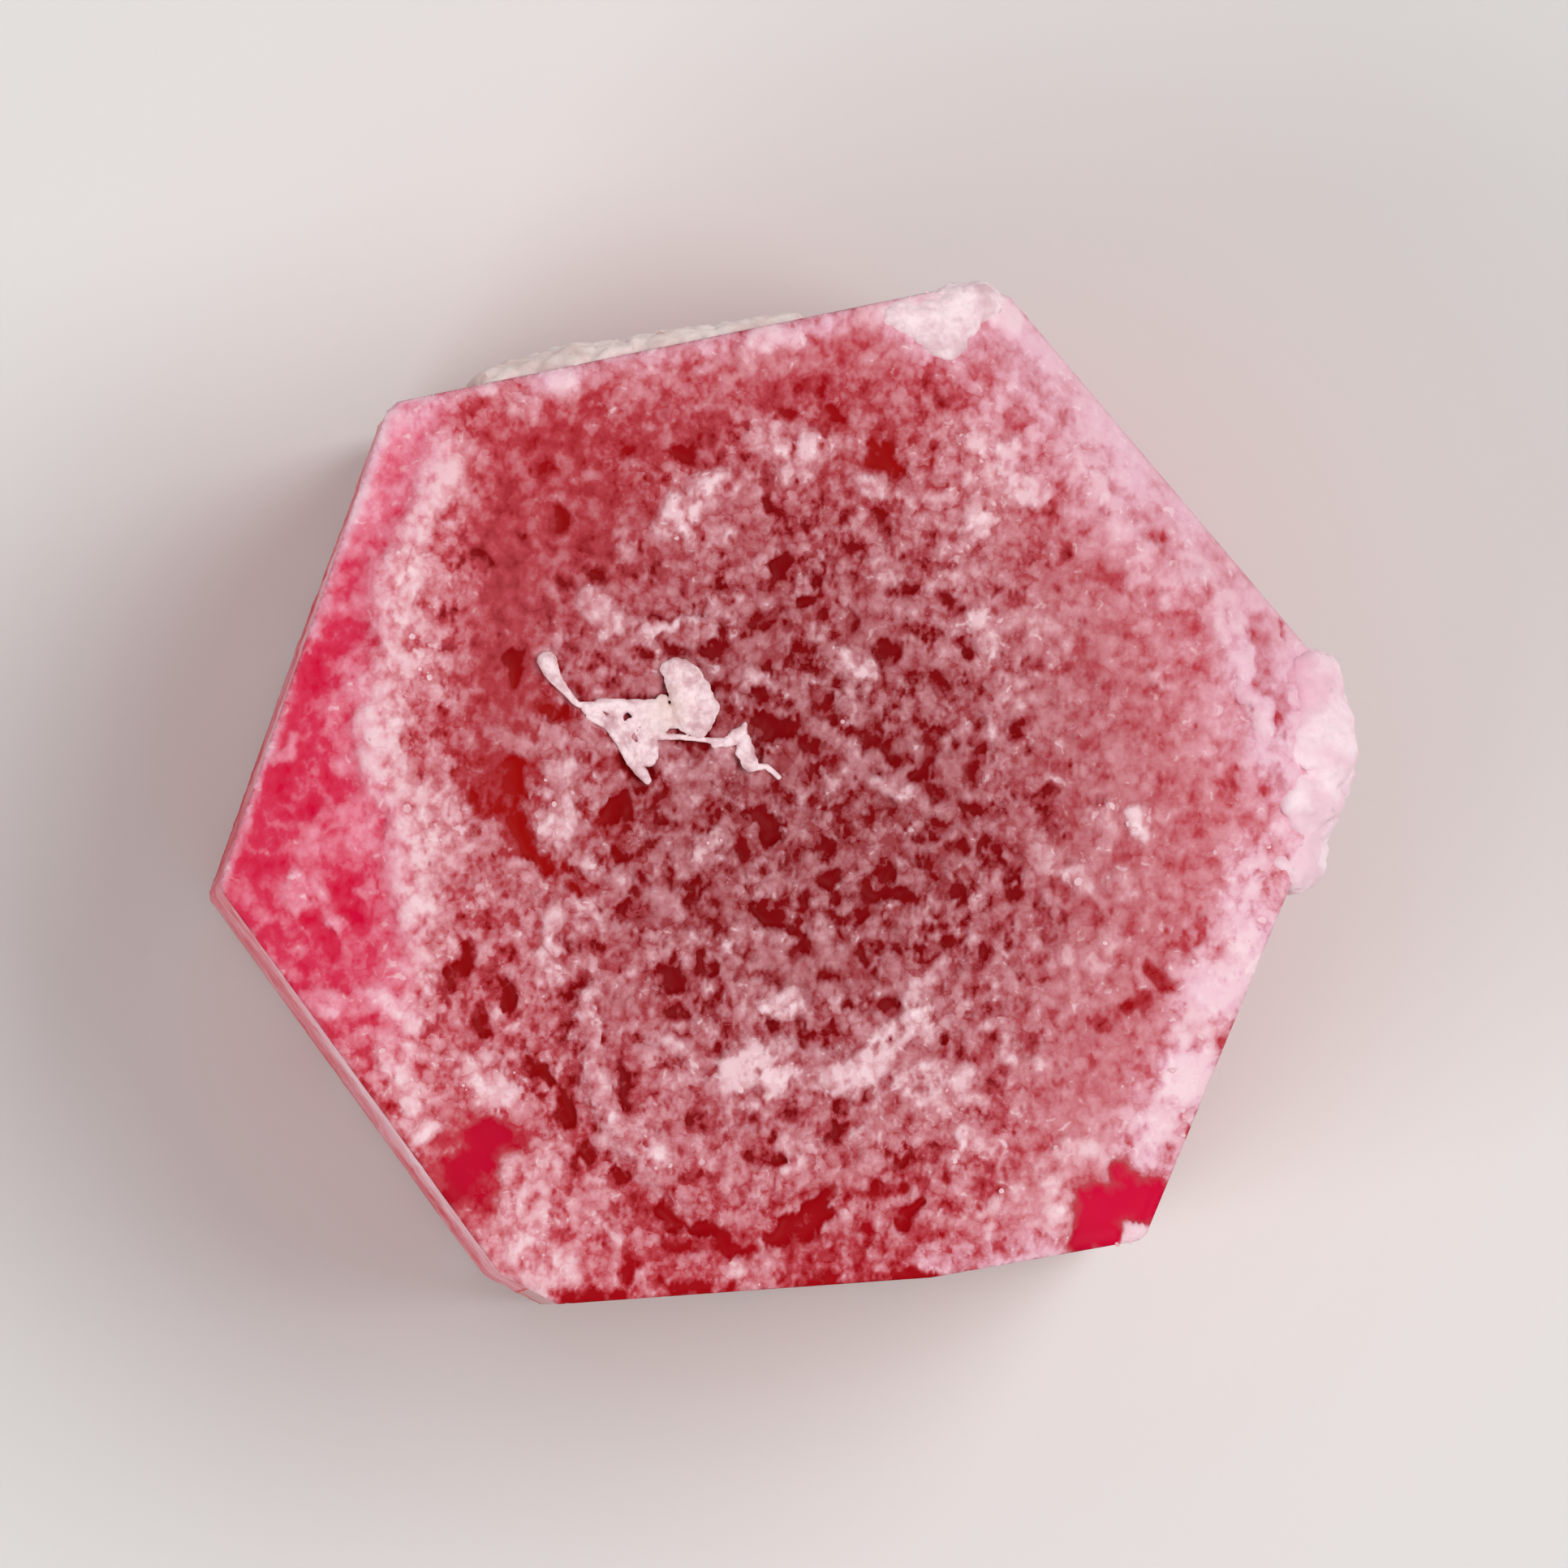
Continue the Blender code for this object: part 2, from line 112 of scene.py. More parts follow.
RIGHT_ARC_PATH = ((3.38, 1.74), (3.90, 0.75), (4.10, 0.15))
LEFT_GROOVE_PATH = ((-2.69, -1.30), (-2.42, -1.82), (-1.83, -2.61), (-1.37, -3.07), (-0.78, -3.40))
LOWER_GROOVE_PATH = ((-0.78, -3.40), (0.21, -3.42), (0.94, -3.34))

WINDOW_DEPTH = 0.02
PATCH_RISE = 0.03
STROKE_REACH = 1.15  # how far a mark reaches, as a share of its half width
WINDOW_REACH = 0.98  # the same for the clear windows
RAGGED = ((0.60, 0.10), (0.22, 0.08), (0.10, 0.05))  # size of the noise, and how far it pushes
RAGGED_SEED = 285
FACET_PUSH = 0.40  # share of that push that the facets get

# Ridges and grooves: half width, rise, path.
RELIEF_LINES = (
    (0.24, 0.04, LEFT_RIDGE_PATH),
    (0.14, 0.08, INNER_ARC_PATH),
    (0.12, 0.07, RIGHT_ARC_PATH),
    (0.24, -0.07, LEFT_GROOVE_PATH),
    (0.20, -0.05, LOWER_GROOVE_PATH),
)

# Clear etched windows, where the frost is thin or gone: two ends, half width, and how clear.
WINDOWS = (
    ((-1.38, 2.86), (-1.33, 2.83), 0.07, 0.8),
    ((-0.88, 2.80), (-0.76, 2.72), 0.09, 0.9),
    ((-1.80, 2.32), (-1.84, 2.18), 0.07, 0.7),
    ((-1.84, 1.82), (-1.78, 1.70), 0.07, 0.7),
    ((-1.56, 1.84), (-1.46, 1.76), 0.06, 0.6),
    ((-2.48, 1.97), (-2.42, 1.90), 0.06, 0.5),
    ((-2.14, 1.10), (-2.18, 0.96), 0.07, 0.8),
    ((-1.86, 0.72), (-1.76, 0.60), 0.09, 0.7),
    ((-1.22, 0.82), (-1.06, 0.80), 0.06, 0.7),
    ((-2.24, 0.24), (-2.16, 0.02), 0.07, 0.85),
    ((-2.14, -0.10), (-2.06, -0.36), 0.07, 0.85),
    ((-2.34, 0.20), (-2.16, -0.24), 0.16, 0.28),
    ((-0.20, 0.62), (0.02, 0.54), 0.10, 1.0),
    ((-1.46, -0.20), (-1.32, -0.10), 0.08, 0.9),
    ((-0.18, -0.10), (-0.12, -0.36), 0.07, 1.0),
    ((-0.08, 1.96), (-0.06, 1.84), 0.08, 0.8),
    ((-0.26, 1.52), (-0.12, 1.48), 0.07, 0.8),
    ((-0.72, 1.72), (-0.66, 1.66), 0.07, 0.5),
    ((-0.26, 2.66), (-0.16, 2.36), 0.06, 0.6),
    ((0.76, 2.90), (0.92, 2.74), 0.11, 0.9),
    ((0.24, 2.30), (0.44, 2.22), 0.08, 0.9),
    ((0.72, 2.32), (0.80, 2.18), 0.06, 0.5),
    ((0.10, 3.34), (0.42, 3.40), 0.07, 0.6),
    ((1.22, 3.46), (1.32, 3.12), 0.07, 0.5),
    ((0.38, 3.20), (0.44, 3.12), 0.05, 0.5),
    ((0.78, 1.66), (0.96, 1.68), 0.06, 0.8),
    ((0.14, 1.56), (0.24, 1.56), 0.06, 0.8),
    ((1.42, 1.30), (1.54, 1.20), 0.07, 0.7),
    ((1.24, 1.68), (1.36, 1.62), 0.06, 0.5),
    ((0.08, 1.20), (0.12, 1.02), 0.06, 0.5),
    ((1.26, 1.00), (1.32, 0.76), 0.07, 0.6),
    ((0.24, 0.94), (0.30, 0.70), 0.07, 0.7),
    ((1.62, 0.42), (1.50, 0.14), 0.07, 0.8),
    ((0.84, 0.38), (0.96, 0.32), 0.07, 0.7),
    ((1.42, -0.10), (1.70, -0.12), 0.06, 0.7),
    ((0.44, -0.20), (0.52, -0.18), 0.06, 0.7),
    ((1.34, -0.46), (1.42, -0.46), 0.07, 0.9),
    ((1.68, -0.38), (1.80, -0.32), 0.06, 0.6),
    ((0.26, -0.66), (0.40, -0.56), 0.07, 0.9),
    ((0.68, -0.74), (0.92, -0.78), 0.06, 0.8),
    ((0.50, -0.92), (0.64, -0.84), 0.07, 0.8),
    ((-0.18, -0.94), (-0.08, -1.02), 0.08, 0.8),
    ((0.10, -1.20), (0.18, -1.26), 0.06, 0.7),
    ((-0.60, -0.84), (-0.50, -0.90), 0.06, 0.6),
    ((-0.62, -1.24), (-0.58, -1.40), 0.05, 0.6),
    ((-0.90, -1.72), (-0.80, -1.76), 0.06, 0.6),
    ((1.42, -0.72), (1.42, -0.84), 0.06, 0.7),
    ((0.84, -1.02), (1.16, -1.06), 0.05, 0.5),
    ((1.76, -1.10), (1.66, -1.34), 0.07, 0.7),
    ((1.30, -1.42), (1.40, -1.38), 0.07, 0.6),
    ((2.10, -1.30), (2.08, -1.46), 0.06, 0.6),
    ((2.26, -0.76), (2.24, -0.90), 0.06, 0.5),
    ((0.70, -1.28), (0.78, -1.66), 0.16, 0.3),
    ((2.98, -1.32), (3.06, -1.50), 0.09, 0.8),
    ((3.24, -1.20), (3.38, -1.10), 0.09, 0.5),
    ((2.80, -1.68), (2.88, -1.60), 0.07, 0.7),
    ((2.50, -1.84), (2.62, -1.86), 0.06, 0.6),
    ((1.60, -2.30), (1.74, -2.28), 0.09, 0.5),
    ((0.36, -2.80), (0.52, -2.60), 0.05, 0.7),
    ((0.02, -2.60), (0.12, -2.62), 0.06, 0.8),
    ((-0.72, -2.60), (-0.54, -2.60), 0.07, 0.8),
    ((-0.24, -2.90), (-0.08, -2.88), 0.09, 1.12),
    ((-1.32, -2.12), (-1.22, -2.46), 0.07, 0.6),
    ((1.22, -2.90), (0.94, -2.80), 0.06, 0.5),
    ((0.80, -3.16), (0.92, -3.14), 0.09, 0.6),
    ((1.12, -3.24), (0.96, -3.46), 0.06, 1.12),
    ((-0.14, -3.54), (-0.02, -3.50), 0.06, 1.12),
    ((0.06, -3.44), (0.24, -3.42), 0.10, 1.25),
    ((0.22, -3.30), (0.32, -3.22), 0.08, 1.25),
    ((0.16, -3.70), (0.18, -3.80), 0.06, 0.7),
    ((0.30, -3.84), (0.40, -3.88), 0.06, 0.7),
    ((0.62, -3.52), (0.68, -3.66), 0.05, 0.5),
    ((-0.93, -3.28), (-0.92, -3.48), 0.06, 1.12),
    ((-0.84, -3.44), (-0.62, -3.47), 0.07, 1.25),
    ((-0.52, -3.52), (-0.44, -3.62), 0.06, 1.12),
    ((-0.98, -3.64), (-0.78, -3.70), 0.05, 0.7),
    ((-0.46, -3.60), (-0.26, -3.66), 0.05, 0.7),
    ((-1.32, -3.88), (-1.26, -3.94), 0.06, 0.7),
    ((-1.04, -3.94), (-1.00, -3.98), 0.05, 0.6),
    ((-2.02, -0.42), (-1.94, -0.50), 0.06, 0.9),
    ((-1.80, -0.52), (-1.70, -0.58), 0.05, 0.8),
    ((-2.70, -1.48), (-2.54, -1.32), 0.10, 0.9),
    ((-2.38, -1.48), (-2.22, -1.72), 0.07, 0.9),
    ((-2.48, -1.82), (-2.40, -1.90), 0.07, 0.9),
    ((-2.06, -2.14), (-1.92, -2.30), 0.05, 1.12),
    ((-1.84, -2.48), (-1.76, -2.60), 0.07, 1.25),
    ((-1.60, -2.84), (-1.54, -2.92), 0.06, 1.12),
    ((-1.46, -3.02), (-1.34, -3.05), 0.05, 0.8),
    ((-1.76, -1.58), (-1.60, -1.42), 0.07, 0.8),
    ((-1.64, -3.48), (-1.52, -3.52), 0.05, 0.5),
    ((-3.82, -0.96), (-3.74, -1.16), 0.10, 0.5),
    ((-3.52, -0.70), (-3.46, -0.92), 0.09, 0.5),
    ((3.14, -2.82), (3.18, -2.80), 0.05, 0.7),
    ((-3.86, 0.84), (-3.62, 1.28), 0.20, 0.30),
    ((-4.40, -0.42), (-4.04, 0.14), 0.20, 0.30),
    ((-4.02, -0.10), (-3.70, 0.02), 0.15, 0.25),
    ((3.86, 1.20), (3.98, 0.90), 0.05, 0.50),
    ((3.98, 0.90), (4.05, 0.60), 0.06, 0.60),
    ((3.97, 0.14), (4.01, -0.08), 0.11, 0.50),
    ((3.78, 1.42), (4.07, 0.74), 0.12, 0.46),
    ((2.86, 1.82), (3.22, 1.42), 0.13, 0.28),
    ((3.62, 0.30), (3.66, 0.10), 0.07, 0.40),
    ((2.30, 1.90), (2.80, 1.75), 0.09, 0.25),
    ((2.90, 2.30), (3.20, 2.05), 0.08, 0.25),
)

# Bare facets at two corners: two ends, half width, and how bare.
FACETS = (
    ((2.42, -3.34), (2.42, -3.56), 0.14, 1.0),
    ((2.56, -3.32), (2.94, -3.27), 0.18, 1.0),
    ((2.50, -3.50), (2.64, -3.55), 0.14, 1.0),
    ((2.72, -3.02), (2.80, -3.14), 0.10, 0.85),
    ((-2.46, -2.80), (-2.36, -2.76), 0.16, 1.0),
    ((-2.54, -2.98), (-2.64, -3.14), 0.17, 0.93),
)

# Thicker, whiter frost, raised a little: two ends, half width, and how thick.
FROST_PATCHES = (
    ((-2.82, 2.90), (-2.82, 2.50), 0.17, 0.45),
    ((-2.82, 2.50), (-2.96, 2.16), 0.17, 0.50),
    ((-3.10, 1.90), (-3.20, 1.70), 0.18, 0.65),
    ((-3.16, 1.50), (-3.00, 1.10), 0.20, 0.60),
    ((-3.00, 1.06), (-2.84, 0.98), 0.14, 0.45),
    ((-3.20, 0.88), (-3.12, 0.78), 0.15, 0.50),
    ((-3.30, 0.62), (-3.28, 0.22), 0.16, 0.70),
    ((-3.12, -0.02), (-3.10, -0.50), 0.14, 0.60),
    ((-3.12, -0.50), (-3.02, -0.90), 0.16, 0.60),
    ((-3.00, -1.08), (-2.84, -1.18), 0.14, 0.50),
    ((-2.90, -0.10), (-2.70, -0.50), 0.20, 0.4),
    ((-2.44, 3.38), (-2.38, 3.34), 0.09, 0.8),
    ((-2.20, 3.18), (-2.10, 3.22), 0.09, 0.6),
    ((-1.92, 3.42), (-1.78, 3.34), 0.09, 0.7),
    ((-0.36, 3.60), (-0.30, 3.58), 0.07, 0.6),
    ((-0.22, 3.76), (0.02, 3.74), 0.13, 0.7),
    ((-0.96, 2.24), (-0.70, 2.38), 0.10, 1.0),
    ((-0.62, 2.46), (-0.46, 2.58), 0.13, 1.0),
    ((-0.30, 2.96), (-0.06, 2.84), 0.10, 0.7),
    ((0.02, 2.72), (0.20, 2.84), 0.13, 0.9),
    ((-1.56, 1.60), (-1.44, 1.36), 0.10, 1.0),
    ((-1.32, 2.14), (-1.28, 1.94), 0.07, 0.5),
    ((-0.52, 1.66), (-0.46, 1.52), 0.08, 0.4),
    ((-0.26, 1.02), (-0.34, 0.84), 0.07, 0.5),
    ((-0.60, 1.36), (-0.56, 1.30), 0.05, 0.5),
    ((-1.86, 0.20), (-1.82, -0.20), 0.13, 0.7),
    ((-2.40, 0.48), (-2.20, 0.40), 0.10, 0.4),
    ((-0.92, 0.28), (-0.84, 0.16), 0.10, 0.4),
    ((-0.70, -0.46), (-0.62, -0.36), 0.10, 0.7),
    ((-1.66, -0.46), (-1.40, -0.62), 0.09, 0.5),
    ((1.84, 2.82), (1.94, 2.46), 0.12, 0.9),
    ((1.50, 2.84), (1.58, 2.50), 0.14, 0.6),
    ((1.50, 2.22), (1.60, 2.18), 0.11, 0.8),
    ((0.68, 2.58), (0.92, 2.40), 0.08, 0.6),
    ((1.62, 1.44), (1.68, 1.32), 0.10, 0.6),
    ((1.24, 1.42), (1.50, 1.38), 0.05, 0.4),
    ((0.50, 1.16), (0.64, 1.08), 0.11, 0.7),
    ((0.44, 0.92), (0.52, 0.80), 0.09, 0.4),
    ((0.80, 0.14), (0.96, 0.02), 0.06, 0.7),
    ((0.76, 1.88), (0.90, 1.80), 0.09, 0.4),
    ((0.12, 1.72), (0.16, 1.68), 0.06, 0.6),
    ((2.90, -0.14), (2.92, -0.30), 0.08, 1.0),
    ((2.64, -0.10), (2.66, -0.32), 0.07, 0.5),
    ((2.14, -0.34), (2.18, -0.46), 0.08, 0.5),
    ((2.38, -0.62), (2.44, -0.68), 0.09, 0.6),
    ((2.70, -0.66), (2.72, -0.72), 0.07, 0.5),
    ((3.10, 1.04), (3.12, 1.00), 0.06, 0.5),
    ((2.30, -1.22), (2.56, -1.32), 0.09, 0.5),
    ((2.62, -1.02), (2.68, -1.16), 0.06, 0.5),
    ((-0.40, -2.20), (-0.10, -2.16), 0.14, 1.0),
    ((-0.14, -2.26), (-0.10, -2.38), 0.12, 1.0),
    ((0.40, -2.22), (0.78, -2.14), 0.13, 0.9),
    ((1.00, -1.86), (1.16, -1.74), 0.11, 0.8),
    ((0.88, -2.00), (1.00, -1.92), 0.10, 0.6),
    ((-0.10, -1.64), (0.04, -1.62), 0.10, 0.6),
    ((1.04, -2.36), (1.34, -2.38), 0.13, 0.5),
    ((1.80, -2.00), (1.84, -2.24), 0.06, 0.5),
    ((0.18, -2.84), (0.26, -2.88), 0.08, 0.5),
    ((1.40, -2.74), (1.44, -2.90), 0.07, 0.5),
    ((-0.90, -2.00), (-0.80, -2.16), 0.08, 0.4),
    ((-1.60, -1.66), (-1.56, -2.20), 0.09, 0.5),
    ((-1.56, -2.20), (-1.42, -2.62), 0.09, 0.5),
    ((-1.42, -2.62), (-1.04, -2.92), 0.11, 0.5),
    ((-1.92, -0.84), (-1.84, -1.20), 0.06, 0.6),
    ((-1.96, -1.28), (-1.86, -1.46), 0.07, 0.8),
    ((-2.20, -1.50), (-2.04, -1.50), 0.10, 0.4),
    ((-2.52, -2.30), (-2.22, -2.34), 0.15, 0.6),
    ((-4.02, -0.62), (-3.70, -0.74), 0.06, 0.5),
    ((-3.88, -0.88), (-3.64, -1.00), 0.06, 0.6),
    ((-4.02, -0.74), (-3.94, -0.92), 0.05, 0.6),
    ((-3.84, -1.60), (-3.68, -1.68), 0.12, 0.7),
    ((-3.32, -1.66), (-3.12, -1.74), 0.13, 0.8),
    ((-3.24, -2.06), (-3.10, -2.30), 0.13, 0.8),
    ((-3.10, -2.30), (-2.94, -2.64), 0.10, 0.8),
    ((-2.12, -3.00), (-1.96, -3.40), 0.15, 0.5),
    ((-2.14, -3.40), (-1.90, -3.90), 0.18, 0.7),
    ((-1.46, -3.50), (-1.42, -3.62), 0.09, 0.5),
    ((-0.34, -3.88), (-0.20, -3.90), 0.08, 0.5),
    ((2.30, -2.86), (2.46, -2.84), 0.09, 0.6),
    ((1.80, -3.34), (2.00, -3.26), 0.12, 0.5),
    ((-4.04, 0.52), (-4.06, 0.40), 0.05, 0.6),
    ((-1.15, 1.35), (-0.95, 1.40), 0.03, 0.7),
    ((-0.95, 1.40), (-0.60, 1.48), 0.03, 0.7),
    ((-3.30, 2.95), (-3.05, 3.10), 0.16, 0.35),
    ((-3.45, 2.30), (-3.30, 2.50), 0.13, 0.25),
    ((-3.60, 1.10), (-3.50, 0.90), 0.14, 0.30),
    ((-3.75, -0.30), (-3.60, -0.20), 0.16, 0.35),
    ((2.45, 2.70), (2.75, 2.30), 0.20, 0.30),
    ((3.20, 2.12), (3.52, 1.58), 0.09, 0.34),
    ((3.52, 1.58), (3.78, 0.98), 0.08, 0.40),
    ((3.78, 0.98), (3.86, 0.40), 0.08, 0.34),
    ((2.90, 2.00), (3.10, 1.70), 0.16, 0.30),
    ((3.30, -2.30), (3.40, -1.90), 0.18, 0.50),
    ((3.05, -2.60), (3.20, -2.40), 0.14, 0.60),
    ((3.55, -1.60), (3.75, -1.20), 0.16, 0.45),
    ((2.15, -3.10), (2.20, -3.45), 0.12, 0.70),
    ((2.82, -3.62), (2.96, -3.54), 0.08, 0.70),
    ((0.60, 3.97), (1.00, 4.05), 0.07, 0.60),
    ((1.00, 4.05), (1.55, 4.12), 0.10, 0.80),
    ((1.62, 4.08), (1.85, 3.90), 0.12, 0.80),
)

# The walls.
WALL_INSET = 0.018  # keeps the scored walls inside the plain outline
GROWTH_LEDGES = ((4.25, 20.0, 0.10), (1.85, 70.0, 0.09))  # height, azimuth where deepest, depth
LEDGE_STEP = 0.04
BASE_CHIPS = ((22.0, 9.0, 0.20), (128.0, 14.0, 0.26), (250.0, 7.0, 0.16), (318.0, 11.0, 0.22))
CHIP_HEIGHT = 0.50
BASE_WEAR = 0.07
WALL_ROW = 0.19
RIM_ROWS = (0.03, 0.08, 0.16)  # how far below the edge of the end face the first rows lie


def tone(red, green, blue):
    """A linear colour from display values between 0 and 255."""
    values = []
    for value in (red, green, blue):
        share = value / 255.0
        linear = share / 12.92 if share <= 0.04045 else ((share + 0.055) / 1.055) ** 2.4
        values.append(linear)
    return (*values, 1.0)


def colour(name, description, default):
    """A colour that a user can change."""
    return FloatVectorProperty(
        name=name, description=description, subtype="COLOR", size=4, min=0.0, max=1.0, default=default
    )


def length(name, description, default):
    """A length that a user can change, with its default in millimetres."""
    return FloatProperty(
        name=name, description=description, default=default * MM, min=0.0, precision=5, unit="LENGTH"
    )


def degrees(name, description, default):
    """An angle that a user can change, with its default in degrees."""
    return FloatProperty(
        name=name, description=description, default=math.radians(default), unit="ROTATION"
    )


class BerylSettings(bpy.types.PropertyGroup):
    """Sizes and colours of the crystal."""

    grain_size: length("Grain size", "Width of a grain of the frost", 0.16)
    grain_height: length("Grain height", "Height from a pit's floor to thick frost", 0.05)
    pit_size: length("Pit size", "Width of a small etch pit", 0.24)
    pit_depth: length("Pit depth", "Depth of the small etch pits", 0.025)
    seed: IntProperty(name="Seed", description="Changes the grain and the pits", default=7)
    # Painted shade: the clear pits are painted a darker red in the middle of the end face.
    shaded_middle: colour("Heart", "Dark red in the clear pits of the middle", tone(130, 0, 6))
    # Painted glow: a brighter red in the clear pits around the middle, for light shining through the clear
    # beryl.
    painted_glow: colour("Ember", "Glowing red in the clear pits around the middle", tone(162, 0, 0))
    # Painted light: the clear pits near the edges are painted a brighter red, for light coming in through the
    # walls.
    ruby: colour("Ruby", "Red in the clear pits near the edges", tone(164, 0, 14))
    # Painted light: the clear facets at the corners and the clear pits of the crimson stretch are painted
    # bright red, for light coming in through the walls.
    sidelit_scarlet: colour("Scarlet", "Bright red in the clear facets at the corners", tone(214, 0, 57))
    wine: colour("Wine", "Red of the walls", tone(222, 10, 52))
    garnet: colour("Garnet", "Deep red in the clear parts of the walls", tone(192, 0, 36))
    # Painted shade: the red under the frost is painted muted and darker in the middle.
    dusk: colour("Dusk", "Muted red under the frost of the middle", tone(156, 64, 69))
    rose: colour("Rose", "Red under the frost towards the edges", tone(199, 70, 82))
    raspberry: colour("Raspberry", "Crimson along the left edge", tone(217, 58, 89))
    # Painted shade: the frost is painted greyer in the middle.
    shaded_veil: colour("Veil", "Greyish pink frost of the middle", tone(200, 138, 144))
    frost: colour("Frost", "Pale pink frost", tone(232, 160, 170))
    blush: colour("Blush", "Pink frost along the left edge", tone(240, 152, 172))
    lilac: colour("Lilac", "Bright lilac-white frost of the rims", tone(238, 184, 202))
    white: colour("White", "Thick white frost", tone(252, 220, 226))
    ior: FloatProperty(name="IOR", description="Index of refraction of beryl", default=1.57, min=1.0)
    tint: colour("Tint", "Colour that the clear body lets through", (0.94, 0.10, 0.55, 1.0))
    tint_density: FloatProperty(
        name="Tint density", description="Absorption of the clear body, per metre", default=700.0
    )


class StudioSettings(bpy.types.PropertyGroup):
    """The floor, the lights and the camera."""

    floor: colour("Floor", "Colour of the floor", (0.78, 0.77, 0.75, 1.0))
    sky: FloatProperty(name="Sky", description="Strength of the light from the horizon", default=0.55)
    zenith: FloatProperty(name="Zenith", description="Share of the sky's light straight above", default=0.25)
    key: FloatProperty(name="Key", description="Power of the large soft light", default=0.155, unit="POWER")
    fill: FloatProperty(name="Fill", description="Power of the fill light", default=0.11, unit="POWER")
    distance: length("Camera distance", "From the end face to the camera", 300.0)
    tilt: degrees("Camera tilt", "How far the camera leans away from the c-axis", 2.1)
    side: degrees("Camera side", "Azimuth that the camera leans to", 208.0)


def smooth(t):
    """0 up to 0 and 1 from 1 on, with a soft rise between them."""
    t = np.clip(t, 0.0, 1.0)
    return t * t * (3.0 - 2.0 * t)


def rising(value, start, full):
    """0 up to the start, rising softly to 1 where it is full."""
    return smooth((value - start) / (full - start))


def inset_from(face, x, y):
    """How far points of the plan lie inside one prism face."""
    azimuth, distance = PRISM_FACES[face]
    angle = math.radians(azimuth)
    return distance - x * math.cos(angle) - y * math.sin(angle)


def outline_insets(x, y):
    """The distances of points inside every face and worn corner, one row for each."""
    rows = []
    for azimuth, distance in OUTLINE:
        angle = math.radians(azimuth)
        rows.append(distance - x * math.cos(angle) - y * math.sin(angle))
    return np.array(rows)


def path_distance(x, y, path):
    """The distance from points to the nearest stretch of an open path."""
    nearest = np.full(np.shape(x), np.inf)
    for (x0, y0), (x1, y1) in zip(path, path[1:]):
        dx, dy = x1 - x0, y1 - y0
        t = np.clip(((x - x0) * dx + (y - y0) * dy) / (dx * dx + dy * dy), 0.0, 1.0)
        nearest = np.minimum(nearest, np.hypot(x - x0 - t * dx, y - y0 - t * dy))
    return nearest


def band(x, y, path, half_width):
    """1 along a path, falling softly to 0 beside it."""
    return np.exp(-((path_distance(x, y, path) / half_width) ** 2))


def spot(x, y, centre, half_lengths, turn=0.0, steepness=2.0):
    """1 in the middle of an oval spot, falling softly to 0 outside it."""
    angle = math.radians(turn)
    dx, dy = x - centre[0], y - centre[1]
    u = (dx * math.cos(angle) + dy * math.sin(angle)) / half_lengths[0]
    v = (dy * math.cos(angle) - dx * math.sin(angle)) / half_lengths[1]
    return np.exp(-((u * u + v * v) ** steepness))


def spots(x, y, table):
    """The oval spots of a table added up, each by its strength."""
    total = np.zeros(np.shape(x))
    for strength, centre, half_lengths, turn in table:
        total += strength * spot(x, y, centre, half_lengths, turn)
    return total


def plan_noise(x, y, size, layer):
    """Soft noise over the plan, between -1 and 1. Each layer has its own."""
    return np.array([noise.noise((a / size, b / size, layer)) for a, b in zip(x, y)])


def ragged(x, y, push_share=1.0):
    """The points pushed about a little, so that what is listed gets a natural outline."""
    noise.seed_set(RAGGED_SEED)
    moved = [np.array(x, float), np.array(y, float)]
    for size, push in RAGGED:
        turns = np.array([noise.noise_vector((a / size, b / size, size)) for a, b in zip(x, y)])
        moved[0] += push_share * push * turns[:, 0]
        moved[1] += push_share * push * turns[:, 1]
    return moved


def strokes(x, y, marks, reach=STROKE_REACH, push_share=1.0):
    """The strongest of the marks at each point, each a stroke between two ends with a soft, ragged edge."""
    x, y = ragged(x, y, push_share)
    strongest_mark = np.zeros(np.shape(x))
    for start, end, half_width, strength in marks:
        away = path_distance(x, y, (start, end)) / (half_width * reach)
        strongest_mark = np.maximum(strongest_mark, strength * np.exp(-(away**4)))
    return strongest_mark


def facet_strokes(x, y):
    """The bare facets, with straighter edges than the other marks."""
    return strokes(x, y, FACETS, STROKE_REACH, FACET_PUSH)


def ridge_across(y):
    """The place of the left ridge along X, for each Y."""
    upward = LEFT_RIDGE_PATH[::-1]
    return np.interp(y, [point[1] for point in upward], [point[0] for point in upward])


def terrace_weight(x, y):
    """1 on the terrace along the left edge, falling softly to 0 beyond the ridge and beyond its lower end."""
    return smooth((ridge_across(y) - x) / TERRACE_STEP) * rising(y, *TERRACE_END)


def face_height(x, y):
    """The height of the end face above the base, before its grain."""
    height = np.full(np.shape(x), C_FACE_LEVEL)
    height -= SHOULDER_DROP * np.clip(1.0 - inset_from("upper_right", x, y) / SHOULDER_WIDTH, 0.0, None) ** 2
    height -= RIM_DROP * smooth(1.0 - inset_from("lower_right", x, y) / RIM_WIDTH)
    wear = np.clip(1.0 - outline_insets(x, y).min(axis=0) / EDGE_WEAR_WIDTH, 0.0, None)
    height -= EDGE_WEAR_DROP * wear**2
    from_dish = np.hypot(x - DISH_CENTRE[0], y - DISH_CENTRE[1]) / DISH_RADIUS
    height -= DISH_DEPTH * np.exp(-(from_dish**2))
    height -= TERRACE_DEPTH * terrace_weight(x, y)
    for half_width, rise, path in RELIEF_LINES:
        height += rise * band(x, y, path, half_width)
    height -= WINDOW_DEPTH * np.maximum(strokes(x, y, WINDOWS, WINDOW_REACH), facet_strokes(x, y))
    height += PATCH_RISE * strokes(x, y, FROST_PATCHES)
    return height


# ---------------------------------------------------------------------------------------------------------
# Node trees.


def per(size):
    """The scale at which a noise has cells of a size in millimetres."""
    return 1.0 / (size * MM)


